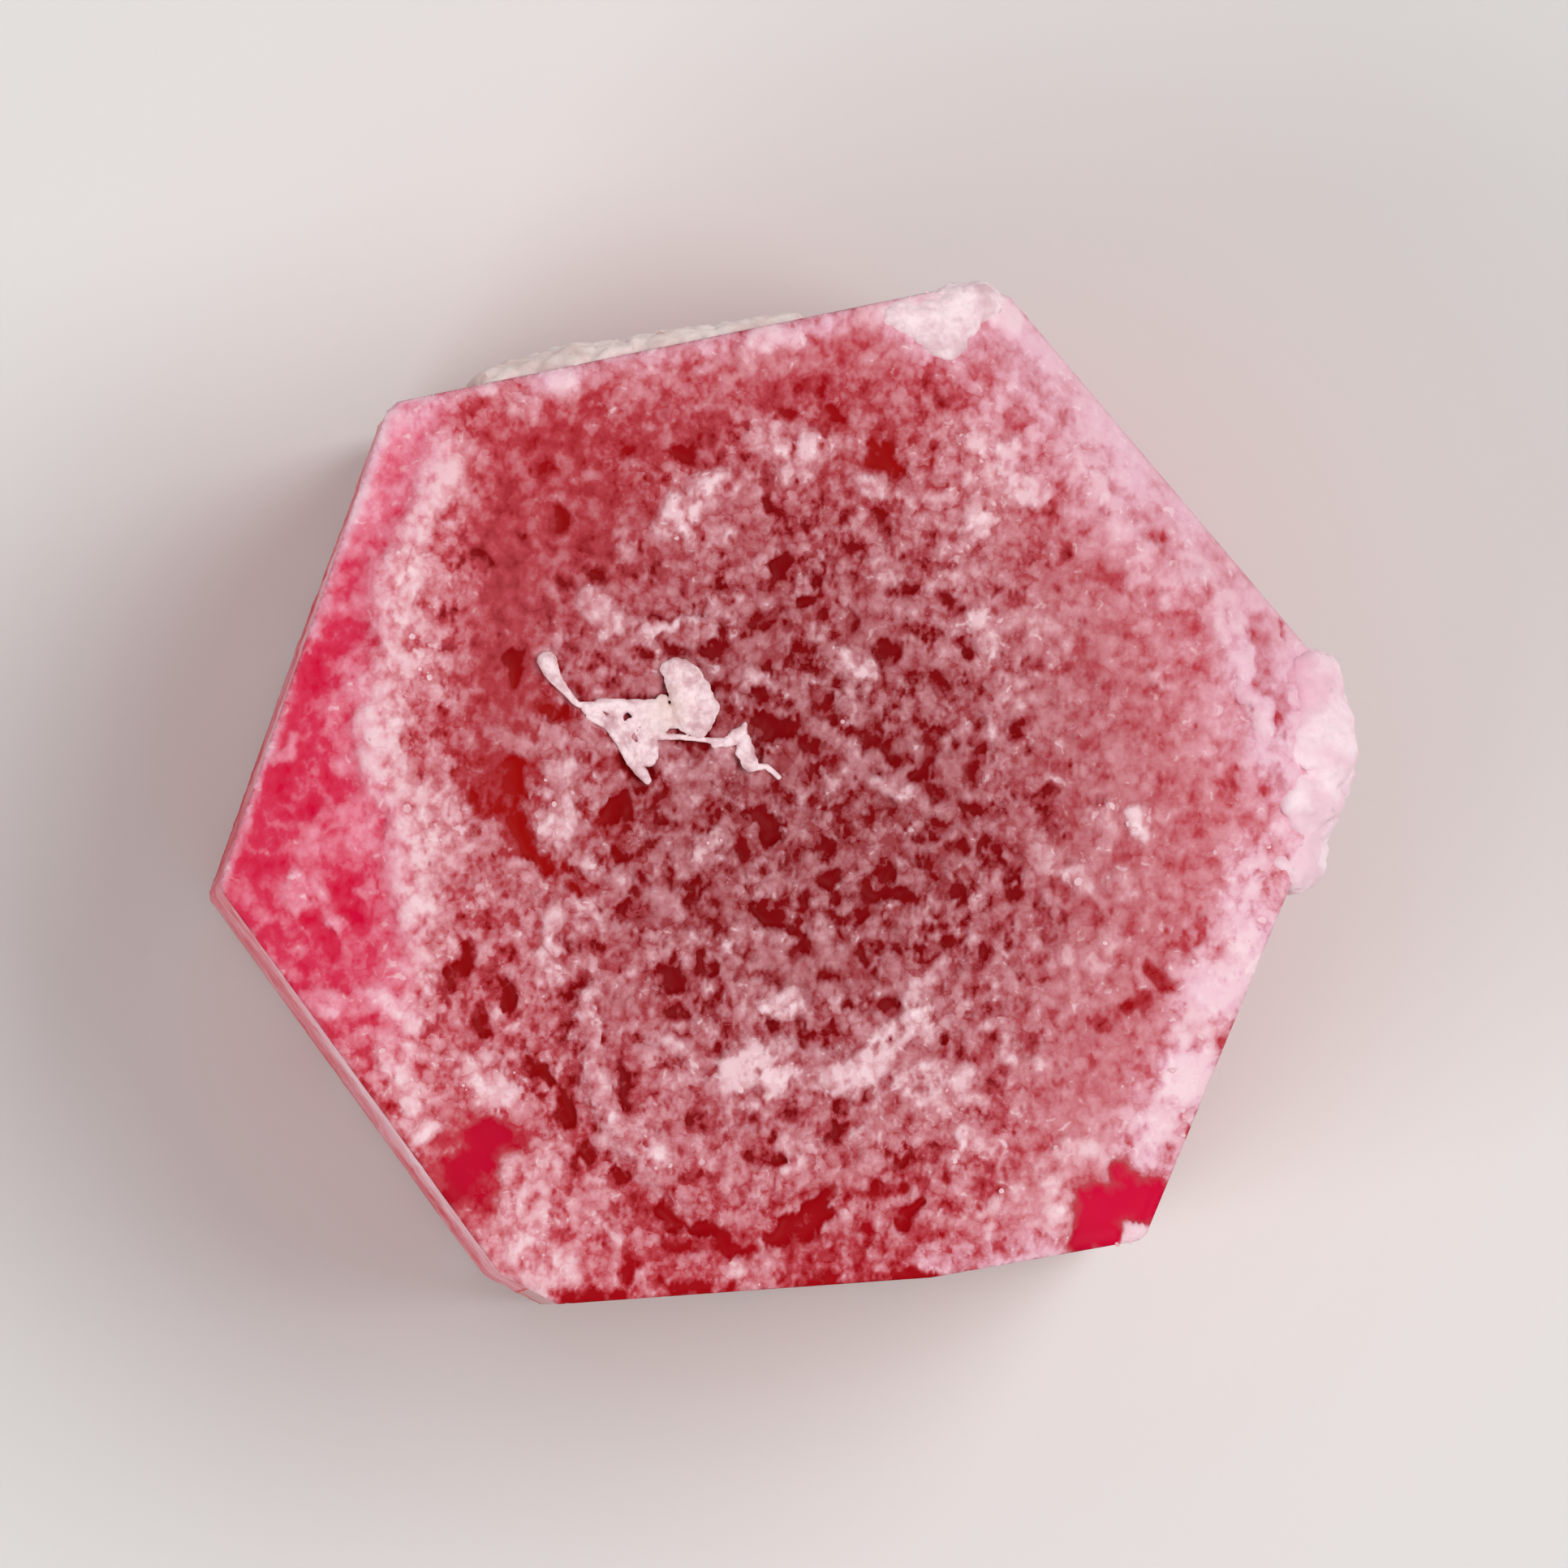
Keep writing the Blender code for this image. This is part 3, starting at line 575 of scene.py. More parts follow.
class Tree:
    """A node tree being built. The method add gives back a node, and the others an output socket."""

    def __init__(self, tree):
        self.tree = tree

    def add(self, kind, inputs=None, **settings):
        made = self.tree.nodes.new(kind)
        for key, value in settings.items():
            setattr(made, key, value)
        for key, value in (inputs or {}).items():
            if isinstance(value, bpy.types.NodeSocket):
                self.tree.links.new(value, made.inputs[key])
            else:
                made.inputs[key].default_value = value
        return made

    def math(self, operation, a, b):
        return self.add("ShaderNodeMath", {0: a, 1: b}, operation=operation).outputs[0]

    def plus(self, a, b):
        return self.math("ADD", a, b)

    def minus(self, a, b):
        return self.math("SUBTRACT", a, b)

    def times(self, a, b):
        return self.math("MULTIPLY", a, b)

    def over(self, a, b):
        return self.math("DIVIDE", a, b)

    def total(self, *parts):
        """The values added up, each by its share."""
        sum_so_far = None
        for value, share in parts:
            part = value if share == 1.0 else self.times(value, share)
            sum_so_far = part if sum_so_far is None else self.plus(sum_so_far, part)
        return sum_so_far

    def vector(self, operation, a, b):
        return self.add("ShaderNodeVectorMath", {0: a, 1: b}, operation=operation).outputs[0]

    def scaled(self, vector, scale):
        return self.add("ShaderNodeVectorMath", {0: vector, 3: scale}, operation="SCALE").outputs[0]

    def ease(self, value, low, high, to_low=0.0, to_high=1.0):
        """The value carried smoothly from low..high to to_low..to_high."""
        sockets = {0: value, 1: low, 2: high, 3: to_low, 4: to_high}
        return self.add("ShaderNodeMapRange", sockets, interpolation_type="SMOOTHSTEP").outputs[0]

    def ramp(self, value, low, high, to_low=0.0, to_high=1.0):
        """The value carried evenly from low..high to to_low..to_high."""
        return self.add("ShaderNodeMapRange", {0: value, 1: low, 2: high, 3: to_low, 4: to_high}).outputs[0]

    def mix(self, share, a, b):
        """Two colours mixed."""
        return self.add("ShaderNodeMix", {0: share, 6: a, 7: b}, data_type="RGBA").outputs[2]

    def blend(self, share, a, b):
        """Two values mixed."""
        return self.add("ShaderNodeMix", {0: share, 2: a, 3: b}, data_type="FLOAT").outputs[0]

    def noise(self, place, scale, detail=2.0, roughness=0.5, distortion=0.0):
        sockets = {
            "Vector": place,
            "Scale": scale,
            "Detail": detail,
            "Roughness": roughness,
            "Distortion": distortion,
        }
        return self.add("ShaderNodeTexNoise", sockets).outputs[0]

    def noise_colour(self, place, scale, detail=1.0):
        """Three noises in one, as a vector between 0 and 1 along each axis."""
        sockets = {"Vector": place, "Scale": scale, "Detail": detail}
        return self.add("ShaderNodeTexNoise", sockets).outputs[1]

    def voronoi(self, place, scale, feature="F1"):
        sockets = {"Vector": place, "Scale": scale}
        return self.add("ShaderNodeTexVoronoi", sockets, feature=feature).outputs[0]

    def bent(self, place, scale, push, detail=1.0):
        """The place pushed about by a noise, by up to a distance in millimetres."""
        return self.vector("ADD", place, self.scaled(self.noise_colour(place, scale, detail), push * MM))

    def mask(self, name):
        """A value painted on the mesh, for a material."""
        return self.add("ShaderNodeAttribute", attribute_name=name).outputs["Fac"]


class GeometryTree(Tree):
    """A geometry node tree with named inputs, ended by Realize Instances and Set Material."""

    def __init__(self, name):
        tree = bpy.data.node_groups.new(name, "GeometryNodeTree")
        super().__init__(tree)
        tree.interface.new_socket("Geometry", in_out="INPUT", socket_type="NodeSocketGeometry")
        tree.interface.new_socket("Geometry", in_out="OUTPUT", socket_type="NodeSocketGeometry")
        self.inputs = tree.nodes.new("NodeGroupInput")
        self.output = tree.nodes.new("NodeGroupOutput")

    def size(self, name, default):
        """A named number input, as a socket to link from."""
        made = self.tree.interface.new_socket(name, in_out="INPUT", socket_type="NodeSocketFloat")
        made.default_value = default
        return self.inputs.outputs[name]

    def named(self, name):
        """A value painted on the mesh."""
        return self.add("GeometryNodeInputNamedAttribute", {"Name": name}, data_type="FLOAT").outputs[0]

    def store(self, geometry, name, value):
        sockets = {"Geometry": geometry, "Name": name, "Value": value}
        settings = {"data_type": "FLOAT", "domain": "POINT"}
        return self.add("GeometryNodeStoreNamedAttribute", sockets, **settings).outputs[0]

    def finish(self, geometry):
        self.tree.interface.new_socket("Material", in_out="INPUT", socket_type="NodeSocketMaterial")
        realized = self.add("GeometryNodeRealizeInstances", {"Geometry": geometry}).outputs[0]
        sockets = {"Geometry": realized, "Material": self.inputs.outputs["Material"]}
        painted = self.add("GeometryNodeSetMaterial", sockets).outputs[0]
        self.tree.links.new(painted, self.output.inputs["Geometry"])
        return self.tree


def applied(source, tree, values, name):
    """The mesh that a geometry node tree makes of an object, as a new object at the origin."""
    modifier = source.modifiers.new(tree.name, "NODES")
    modifier.node_group = tree
    for item in tree.interface.items_tree:
        if item.item_type == "SOCKET" and item.in_out == "INPUT" and item.name in values:
            modifier[item.identifier] = values[item.name]
    bpy.context.view_layer.update()
    graph = bpy.context.evaluated_depsgraph_get()
    mesh = bpy.data.meshes.new_from_object(source.evaluated_get(graph), depsgraph=graph)
    source.modifiers.remove(modifier)
    bpy.data.objects.remove(source)
    mesh.name = name
    made = bpy.data.objects.new(name, mesh)
    bpy.context.scene.collection.objects.link(made)
    return made


def loose_object(name, mesh):
    made = bpy.data.objects.new(name, mesh)
    bpy.context.scene.collection.objects.link(made)
    return made


def store_values(mesh, name, values):
    attribute = mesh.attributes.new(name, "FLOAT", "POINT")
    attribute.data.foreach_set("value", np.asarray(values, np.float32))


def new_material(name):
    material = bpy.data.materials.new(name)
    material.use_nodes = True
    material.node_tree.nodes.clear()
    return material, Tree(material.node_tree)


# ---------------------------------------------------------------------------------------------------------
# The crystal.


def outward_direction(x, y):
    """The outward direction of the prism's outline at points on it, as two rows."""
    insets = outline_insets(x, y)
    near = insets < insets.min(axis=0) + CORNER_BLEND
    angles = np.radians([azimuth for azimuth, _ in OUTLINE])
    across = (near * np.cos(angles)[:, None]).sum(axis=0)
    along = (near * np.sin(angles)[:, None]).sum(axis=0)
    size = np.hypot(across, along)
    return across / size, along / size


def wall_inset(x, y, z):
    """How far the wall lies inside the prism's plain outline, before its grain."""
    azimuth = np.degrees(np.arctan2(y, x))
    inset = np.full(np.shape(x), WALL_INSET)
    for height, deepest, depth in GROWTH_LEDGES:
        facing = np.clip(np.cos(np.radians(azimuth - deepest)), 0.0, None)
        inset += depth * facing * smooth((height + 0.5 * LEDGE_STEP - z) / LEDGE_STEP)
    for centre, half_width, depth in BASE_CHIPS:
        turn = (azimuth - centre + 180.0) % 360.0 - 180.0
        lowness = np.clip(1.0 - z / CHIP_HEIGHT, 0.0, None)
        inset += depth * lowness * np.exp(-((turn / half_width) ** 2))
    inset += BASE_WEAR * np.clip(1.0 - z / BASE_WEAR, 0.0, None)
    return inset


def prism_sheet():
    """A fine sheet cut to the prism's outline, its rows along the shoulder."""
    sheet = bmesh.new()
    steps = round(2.0 * PLAN_REACH / FINE_CELL)
    turned = Matrix.Rotation(math.radians(PRISM_FACES["upper_right"][0]), 4, "Z")
    bmesh.ops.create_grid(sheet, x_segments=steps, y_segments=steps, size=PLAN_REACH * MM, matrix=turned)
    for azimuth, distance in OUTLINE:
        normal = Vector((math.cos(math.radians(azimuth)), math.sin(math.radians(azimuth)), 0.0))
        bmesh.ops.bisect_plane(
            sheet,
            geom=sheet.verts[:] + sheet.edges[:] + sheet.faces[:],
            dist=CUT_SLACK * MM,
            plane_co=normal * distance * MM,
            plane_no=normal,
            clear_outer=True,
        )
    bmesh.ops.remove_doubles(sheet, verts=sheet.verts, dist=WELD * MM)
    return sheet


def rim_loop(sheet):
    """The sheet's boundary vertices in order, counterclockwise."""
    edges = [edge for edge in sheet.edges if edge.is_boundary]
    following = {}
    for edge in edges:
        loop = edge.link_loops[0]
        following[loop.vert] = loop.link_loop_next.vert
    start = edges[0].verts[0]
    ordered = [start]
    while following[ordered[-1]] is not start:
        ordered.append(following[ordered[-1]])
    return ordered


def crystal_mesh():
    """The closed crystal: its end face, its walls and its base, before the grain."""
    sheet = prism_sheet()
    on_face = sheet.verts.layers.float.new("face")
    place = np.array([vert.co[:2] for vert in sheet.verts]) / MM
    heights = face_height(place[:, 0], place[:, 1])
    for vert, height in zip(sheet.verts, heights):
        vert.co.z = height * MM
        vert[on_face] = 1.0
    rim = rim_loop(sheet)
    x = np.array([vert.co.x for vert in rim]) / MM
    y = np.array([vert.co.y for vert in rim]) / MM
    top = np.array([vert.co.z for vert in rim]) / MM
    out_x, out_y = outward_direction(x, y)
    count = round((C_FACE_LEVEL - RIM_ROWS[-1]) / WALL_ROW)
    above = rim
    for drop in RIM_ROWS:
        above = add_row(sheet, above, x, y, top - drop, out_x, out_y)
    for row in range(1, count + 1):
        z = (top - RIM_ROWS[-1]) * (1.0 - row / count)
        if row == count:
            # The worn edge of the foot starts at a row of its own.
            above = add_row(sheet, above, x, y, np.full(len(x), BASE_WEAR), out_x, out_y)
        above = add_row(sheet, above, x, y, z, out_x, out_y)
    sheet.faces.new(above)
    bmesh.ops.recalc_face_normals(sheet, faces=sheet.faces)
    mesh = bpy.data.meshes.new("crystal_blank")
    sheet.to_mesh(mesh)
    sheet.free()
    return mesh


def add_row(sheet, above, x, y, z, out_x, out_y):
    """One more row of the wall, joined to the row above it."""
    inset = wall_inset(x, y, z)
    made = []
    for point in zip(x - out_x * inset, y - out_y * inset, z):
        made.append(sheet.verts.new(Vector(point) * MM))
    for here in range(len(above)):
        after = (here + 1) % len(above)
        sheet.faces.new((above[here], made[here], made[after], above[after]))
    return made


# ---------------------------------------------------------------------------------------------------------
# The finish of the end face. Frost is a thickness: about 0 where the beryl is clear, and 1 under snow.

FROST_LEVEL = 0.435
# What each region of the end face adds to the frost.
FROST_SHARES = {
    "rim": 0.28,
    "shoulder": 0.15,
    "ridge": 0.15,
    "patches": 0.52,
    "strewn": 0.06,
    "shaded_middle": 0.04,
    "right_half": 0.03,
    "mottled": 0.16,
    "soft_band": -0.08,
    "crimson": -0.05,
    "left_clear": -0.08,
    "bare": -0.16,
    "lip": -0.55,
    "windows": -0.50,
}
# How much each region calms the grain of the frost. The strewn frost keeps some of its own grain where the
# first of these meet it.
CALM_SHARES = {"right_side": 0.50, "crimson": 0.52, "left_clear": 0.64, "bare": 0.52}
STREWN_GRAIN = 0.6
CALMER_SHARES = {"clouded": 0.90, "soft_band": 0.65, "upper_end": 0.40, "facets": 0.85}
# How thickly crumbs lie on each region.
CRUMB_SHARES = {
    "thick_patches": 0.90,
    "strewn": 0.35,
    "windows": -1.2,
    "bare": -0.1,
    "soft_band": -0.2,
    "crimson": -0.3,
}

# Oval spots: strength, centre, half lengths, turn. First, a little more or less frost.
FROST_SPOTS = (
    (0.12, (-3.25, 2.65), (0.60, 0.60), 0.0),
    (-0.09, (0.30, -3.75), (1.80, 0.40), 0.0),
    (-0.05, (-0.70, 2.90), (1.60, 0.70), 0.0),
    (-0.03, (-1.60, -2.25), (0.70, 0.70), 0.0),
    (-0.03, (0.05, 1.60), (1.00, 0.60), 0.0),
    (-0.08, (1.78, 3.62), (0.30, 0.36), 0.0),
    (-0.04, (-3.80, -0.60), (0.50, 0.60), 0.0),
    (0.06, (-2.80, -2.00), (0.70, 0.80), 0.0),
    (0.07, (0.30, -1.90), (2.00, 1.20), 0.0),
)
# Stretches with thin frost: two that join, and two that stand alone.
BARE_SPOTS = (
    (1.0, (-1.85, 2.40), (0.80, 1.05), 15.0),
    (1.0, (-2.30, 0.90), (0.35, 1.30), 0.0),
)
LONE_BARE_SPOTS = (
    (0.8, (-1.30, 2.92), (0.95, 0.28), 8.0),
    (0.7, (0.18, 3.32), (0.42, 0.20), 10.0),
)
# Pale frost in the upper corner and beside the knob, and the soft edge of the lower left facet.
CORNER_SPOT = (0.90, (1.25, 3.85), (0.55, 0.34), -20.0)
KNOB_SPOT = (0.95, (4.15, 0.85), (0.75, 1.25), 15.0)
FACET_SPOT = (0.55, (-2.58, -3.00), (0.34, 0.46), 35.0)
# Painted glow: a brighter red in the clear pits, for light shining through the clear beryl. Painted light:
# bright red in the facets, for light coming in through the walls at the corners.
PAINTED_GLOW_SPOTS = (
    (1.0, (-2.15, 0.05), (0.75, 1.10), 10.0),
    (0.8, (0.80, 2.85), (0.70, 0.45), -20.0),
    (0.6, (-1.60, 2.60), (0.90, 0.70), 10.0),
    (0.7, (2.90, -1.40), (0.60, 0.50), 60.0),
)
PAINTED_GLOW_GROOVE = (0.45, 0.45)  # strength and half width along both grooves
# Painted light: where the facets at the corners are painted bright red.
SIDELIT_SCARLET_SPOTS = (
    (1.0, (2.75, -3.25), (0.70, 0.60), 20.0),
    (0.6, (-2.45, -2.88), (0.50, 0.50), 0.0),
)

# The noises that break the frost up: size and layer.
MOTTLE = (0.42, 7.0)
CRACKLE = (0.17, 3.0)
FINE_CRACKLE = (0.08, 5.0)
FINE_CRACKLE_SHARE = 0.7
CLOUDS = (0.55, 11.0)


def nearness(place, full, gone):
    """1 up to the first place, falling evenly to 0 at the second."""
    return np.clip((gone - place) / (gone - full), 0.0, 1.0)


def beside(face, x, y, full, gone):
    """1 along one prism face, falling softly to 0 further in."""
    return smooth(nearness(inset_from(face, x, y), full, gone))


def along_between(place, low, high, fade):
    """1 between two places along an axis, falling softly to 0 outside them."""
    return smooth((place - low + fade) / fade) * smooth((high + fade - place) / fade)


def added(regions, shares):
    """The regions added up, each by its share."""
    return sum(share * regions[name] for name, share in shares.items())


def strongest(regions, shares):
    """The greatest of the regions at each point, each by its share."""
    return np.maximum.reduce([share * regions[name] for name, share in shares.items()])


def bare_stretches(x, y):
    """Where the frost is thin, in the upper left and along the upper edge."""
    alone = [spots(x, y, [mark]) for mark in LONE_BARE_SPOTS]
    return np.maximum.reduce([spots(x, y, BARE_SPOTS), *alone])


def lower_lip(x, y, pushed, mottle):
    """The broken clear line along the lower edge."""
    lip = beside("lower", *pushed, 0.0165, 0.0715) * along_between(x, -2.1, 1.2, 0.4)
    return lip * np.clip(0.75 + 1.4 * mottle, 0.0, 1.0)


def rim_frost(x, y, pushed, mottle, regions):
    """The pale frost of the edges: the strongest of its stretches at each point."""
    stretches = [
        regions["soft_band"] * (0.60 + 0.25 * rising(y, 1.7, 2.7)) * (1.0 + 0.5 * mottle),
        0.92 * regions["strewn"] * (1.0 + mottle),
        0.75 * beside("lower", *pushed, 0.068, 0.408) * rising(x, 0.6, 1.4),
        0.60 * beside("upper", *pushed, 0.044, 0.264) * (1.0 + 1.2 * mottle),
        0.80 * beside("left", x, y, 0.02, 0.12),
        spots(x, y, [CORNER_SPOT]),
        spots(x, y, [KNOB_SPOT]) * (1.0 + 0.6 * mottle),
    ]
    return np.clip(np.maximum.reduce(stretches), 0.0, 1.0) * (1.0 - regions["facets"])


def end_face_regions(x, y):
    """The regions that the masks of the end face are made of, and the mottle that breaks them up."""
    pushed = ragged(x, y)
    mottle = plan_noise(x, y, *MOTTLE)
    crackle = plan_noise(x, y, *CRACKLE) + FINE_CRACKLE_SHARE * plan_noise(x, y, *FINE_CRACKLE)
    clouds = plan_noise(x, y, *CLOUDS)
    whole_patches = strokes(x, y, FROST_PATCHES)
    patches = whole_patches * np.clip(0.95 + 0.8 * crackle, 0.25, 1.15)
    windows = 1.1 * strokes(x, y, WINDOWS, WINDOW_REACH) - 0.8 * np.clip(crackle, 0.0, 1.0)
    facets = np.maximum(facet_strokes(x, y), spots(x, y, [FACET_SPOT]))
    from_ridge = x - ridge_across(y)
    # The middle, where the end face is painted darker and greyer: painted shade.
    shaded_middle = spot(x, y, (0.25, -0.05), (2.8, 3.3), steepness=1.4)
    regions = {
        "shaded_middle": shaded_middle,
        # The red stretch left of the ridge, and its clearest part beside the wall.
        "crimson": smooth(nearness(from_ridge, -0.3, 0.1)) * rising(y, -2.6, -1.4),
        "left_clear": beside("left", x, y, 0.15, 0.45) * along_between(y, -0.8, 1.1, 0.5),
        "ridge": band(x, y, LEFT_RIDGE_PATH, 0.24),
        # The smooth pink band along the shoulder, and the broken frost along the lower right edge.
        "soft_band": nearness(inset_from("upper_right", *pushed), 0.1425, 1.0925),
        "shoulder": beside("upper_right", x, y, 0.032, 0.352),
        "strewn": beside("lower_right", *pushed, 0.155, 0.775) * smooth(nearness(y, -0.5, 0.4)),
        "right_half": rising(x, 1.0, 2.0),
        "right_side": rising(x, 1.4, 2.6),
        "upper_end": rising(y, 2.8, 3.5),
        "clouded": np.clip(clouds, 0.0, 0.5) * shaded_middle,
        "bare": bare_stretches(x, y),
        "lip": lower_lip(x, y, pushed, mottle),
        "patches": patches,
        "thick_patches": patches**2,
        "windows": np.clip(windows, 0.0, 1.1),
        "facets": np.clip(facets - 1.4 * whole_patches, 0.0, 1.0),
    }
    regions["mottled"] = mottle * np.maximum(regions["crimson"], regions["strewn"])
    regions["rim"] = rim_frost(x, y, pushed, mottle, regions)
    return regions, mottle


def end_face_masks(x, y):
    """The named masks of the end face's finish."""
    regions, mottle = end_face_regions(x, y)
    inset = outline_insets(x, y).min(axis=0)
    frost = FROST_LEVEL + added(regions, FROST_SHARES) + spots(x, y, FROST_SPOTS)
    calm = strongest(regions, CALM_SHARES) * (1.0 - STREWN_GRAIN * regions["strewn"])
    calm = np.maximum(calm, strongest(regions, CALMER_SHARES))
    # Painted glow: the clear pits are painted a brighter red where light shines through the beryl, and along
    # both grooves.
    glow, half_width = PAINTED_GLOW_GROOVE
    painted_glow = spots(x, y, PAINTED_GLOW_SPOTS)
    painted_glow += glow * band(x, y, LEFT_GROOVE_PATH + LOWER_GROOVE_PATH[1:], half_width)
    iced = 1.0 - regions["facets"]
    return {
        "shaded_middle": regions["shaded_middle"],
        "crimson": regions["crimson"],
        # Near the edges the clear pits are painted a brighter red: painted light from the walls.
        "edge": smooth(nearness(inset, 0.315, 1.215)),
        "painted_glow": np.clip(painted_glow, 0.0, 1.0),
        # Painted light: bright red at the corner facets and in the crimson stretch, for light coming in
        # through the walls.
        "sidelit_scarlet": np.clip(spots(x, y, SIDELIT_SCARLET_SPOTS) + regions["crimson"], 0.0, 1.0),
        "frost": frost * iced + regions["facets"] * (0.12 * mottle - 0.06),
        "rim": regions["rim"] * (1.0 - regions["lip"]),
        "pitted": spot(x, y, (0.2, -0.4), (2.6, 2.9)) * (1.0 - regions["patches"]),
        "lively": 1.0 - calm,
        "inner": rising(inset, 0.0, 0.12),
        "crumbs": np.clip(added(regions, CRUMB_SHARES), 0.0, 1.0) * iced,
    }


# ---------------------------------------------------------------------------------------------------------
# The walls' frost, and what the node trees add to it.

# How frosted each wall is at its foot, and how much more at its upper edge. This is partly frost and partly
# painted light: the walls are painted paler towards their upper edge, and the left and lower left walls, which
# lie in shade, are painted paler at their foot.
WALL_FROST_AND_LIGHT = {
    "upper_right": (0.16, 0.36),
    "upper": (0.22, 0.32),
    "left": (0.46, 0.28),
    "lower_left": (0.52, 0.36),
    "lower": (0.06, 0.06),
    "lower_bent": (0.06, 0.06),
    "lower_right": (0.20, 0.38),
}
# Partly painted light: the walls are painted paler above this line.
FROST_LINE = (1.8, 5.8)  # where the walls start to frost over, and where they are fully frosted
FROST_DRIFT = 2.4  # how far that line wanders up and down
DRIFT_SIZE = (1.9, 1.9, 3.5)
# Painted light: the upper walls are painted lilac-white.
WALL_LILAC_LIGHT = (0.70, 1.00)  # frost of the walls at which they turn lilac-white


def wall_frost_and_light(x, y, z):
    """How frosted the wall is, by the prism face that a point of it lies on and by its height. Partly painted
    light: paler towards the top, and paler on the shaded left walls.
    """
    names = list(PRISM_FACES)
    nearest = np.argmin([inset_from(name, x, y) for name in names], axis=0)
    foot, more = np.array([WALL_FROST_AND_LIGHT[name] for name in names])[nearest].T
    places = np.column_stack((x, y, z)) / DRIFT_SIZE
    drift = np.array([noise.noise(place) for place in places])
    return foot + more * rising(z + FROST_DRIFT * drift, *FROST_LINE)


def paint_masks(mesh):
    """Stores the masks on the crystal's mesh, whose end face already carries the mask face."""
    points = np.empty(len(mesh.vertices) * 3)
    mesh.vertices.foreach_get("co", points)
    x, y, z = points.reshape(-1, 3).T / MM
    on_face = np.empty(len(x))
    mesh.attributes["face"].data.foreach_get("value", on_face)
    masks = {name: on_face * values for name, values in end_face_masks(x, y).items()}
    walls = wall_frost_and_light(x, y, z)
    # Painted light: the upper walls are painted lilac-white.
    masks["rim"] += (1.0 - on_face) * rising(walls, *WALL_LILAC_LIGHT)
    masks["wall_frost_and_light"] = (1.0 - on_face) * walls
    for name, values in masks.items():
        store_values(mesh, name, values)


# The relief of the end face and the walls.
SEED_STEP = 0.5  # how far one step of the seed slides the noises
CELL_WARP = (0.14, 0.08)  # size of the noise that bends the cells of the frost, and how far it bends them
CROWD_SIZE = 0.90  # stretches with more dots, or more flecks
ARC_STRETCH_SIZE = 0.45
ARC_WIDTH = (0.11, 0.03)
PIT_EDGE = (0.66, 0.76)
SCORE_SIZE = 0.16
SCORE_DEPTH = 0.05
SCORE_DRAW = (1.0, 1.0, 0.06)  # draws the scores out along the walls
FILM_SIZE = 0.70
ETCH_SIZE = 0.22
FILM_DRAW = (1.0, 1.0, 0.45)
FOOT_FADE = 0.30  # the foot stays flat, and the scores start above it


def face_frost(tree, place, grain_size, pit):
    """The frost of the end face: its mask with clumps, grains, dark dots, pale flecks and thin arcs."""
    lively, pitted = tree.named("lively"), tree.named("pitted")
    warp_size, warp_push = CELL_WARP
    bent = tree.bent(place, per(warp_size), warp_push)
    clumps = tree.noise(place, tree.over(0.42, grain_size), detail=3.0, roughness=0.55)
    grains = tree.noise(place, tree.over(1.0, grain_size), detail=2.0, roughness=0.6, distortion=0.5)
    cells = tree.voronoi(bent, tree.over(0.95, grain_size))
    spread = tree.total((clumps, 0.45), (grains, 1.05), (cells, -0.18))
    spread = tree.times(tree.minus(spread, 0.645), 0.95)

    speckle = tree.noise(place, tree.over(1.25, grain_size), detail=2.0, roughness=0.55, distortion=0.8)
    crowd = tree.minus(tree.noise(place, per(CROWD_SIZE), detail=1.0), 0.5)
    dotted = tree.total((speckle, 1.0), (crowd, 0.25), (pitted, 0.05))
    dots = tree.ease(dotted, 0.57, 0.65)
    flecks = tree.ease(dotted, 0.42, 0.34)
    spread = tree.total((spread, 1.0), (dots, -0.26), (flecks, 0.16))

    rings = tree.voronoi(bent, tree.over(0.45, grain_size), feature="DISTANCE_TO_EDGE")
    shown = tree.ease(tree.noise(place, per(ARC_STRETCH_SIZE), detail=1.0), 0.50, 0.60)
    arcs = tree.times(tree.ease(rings, *ARC_WIDTH), shown)
    arcs = tree.times(arcs, lively)
    return tree.total((tree.named("frost"), 1.0), (spread, lively), (arcs, 0.22), (pit, -0.35))


def wall_film(tree, place):
    """The frost of the walls: their mask with a cloudy film that small etched spots break."""
    drawn = tree.vector("MULTIPLY", place, FILM_DRAW)
    cloudy = tree.noise(drawn, per(FILM_SIZE), detail=6.0, roughness=0.68)
    etched = tree.noise(drawn, per(ETCH_SIZE), detail=2.0, roughness=0.6, distortion=0.6)
    film = tree.total((cloudy, 1.0), (tree.ease(etched, 0.60, 0.70), -0.12))
    return tree.minus(tree.total((tree.named("wall_frost_and_light"), 1.0), (film, 1.15)), 0.55)


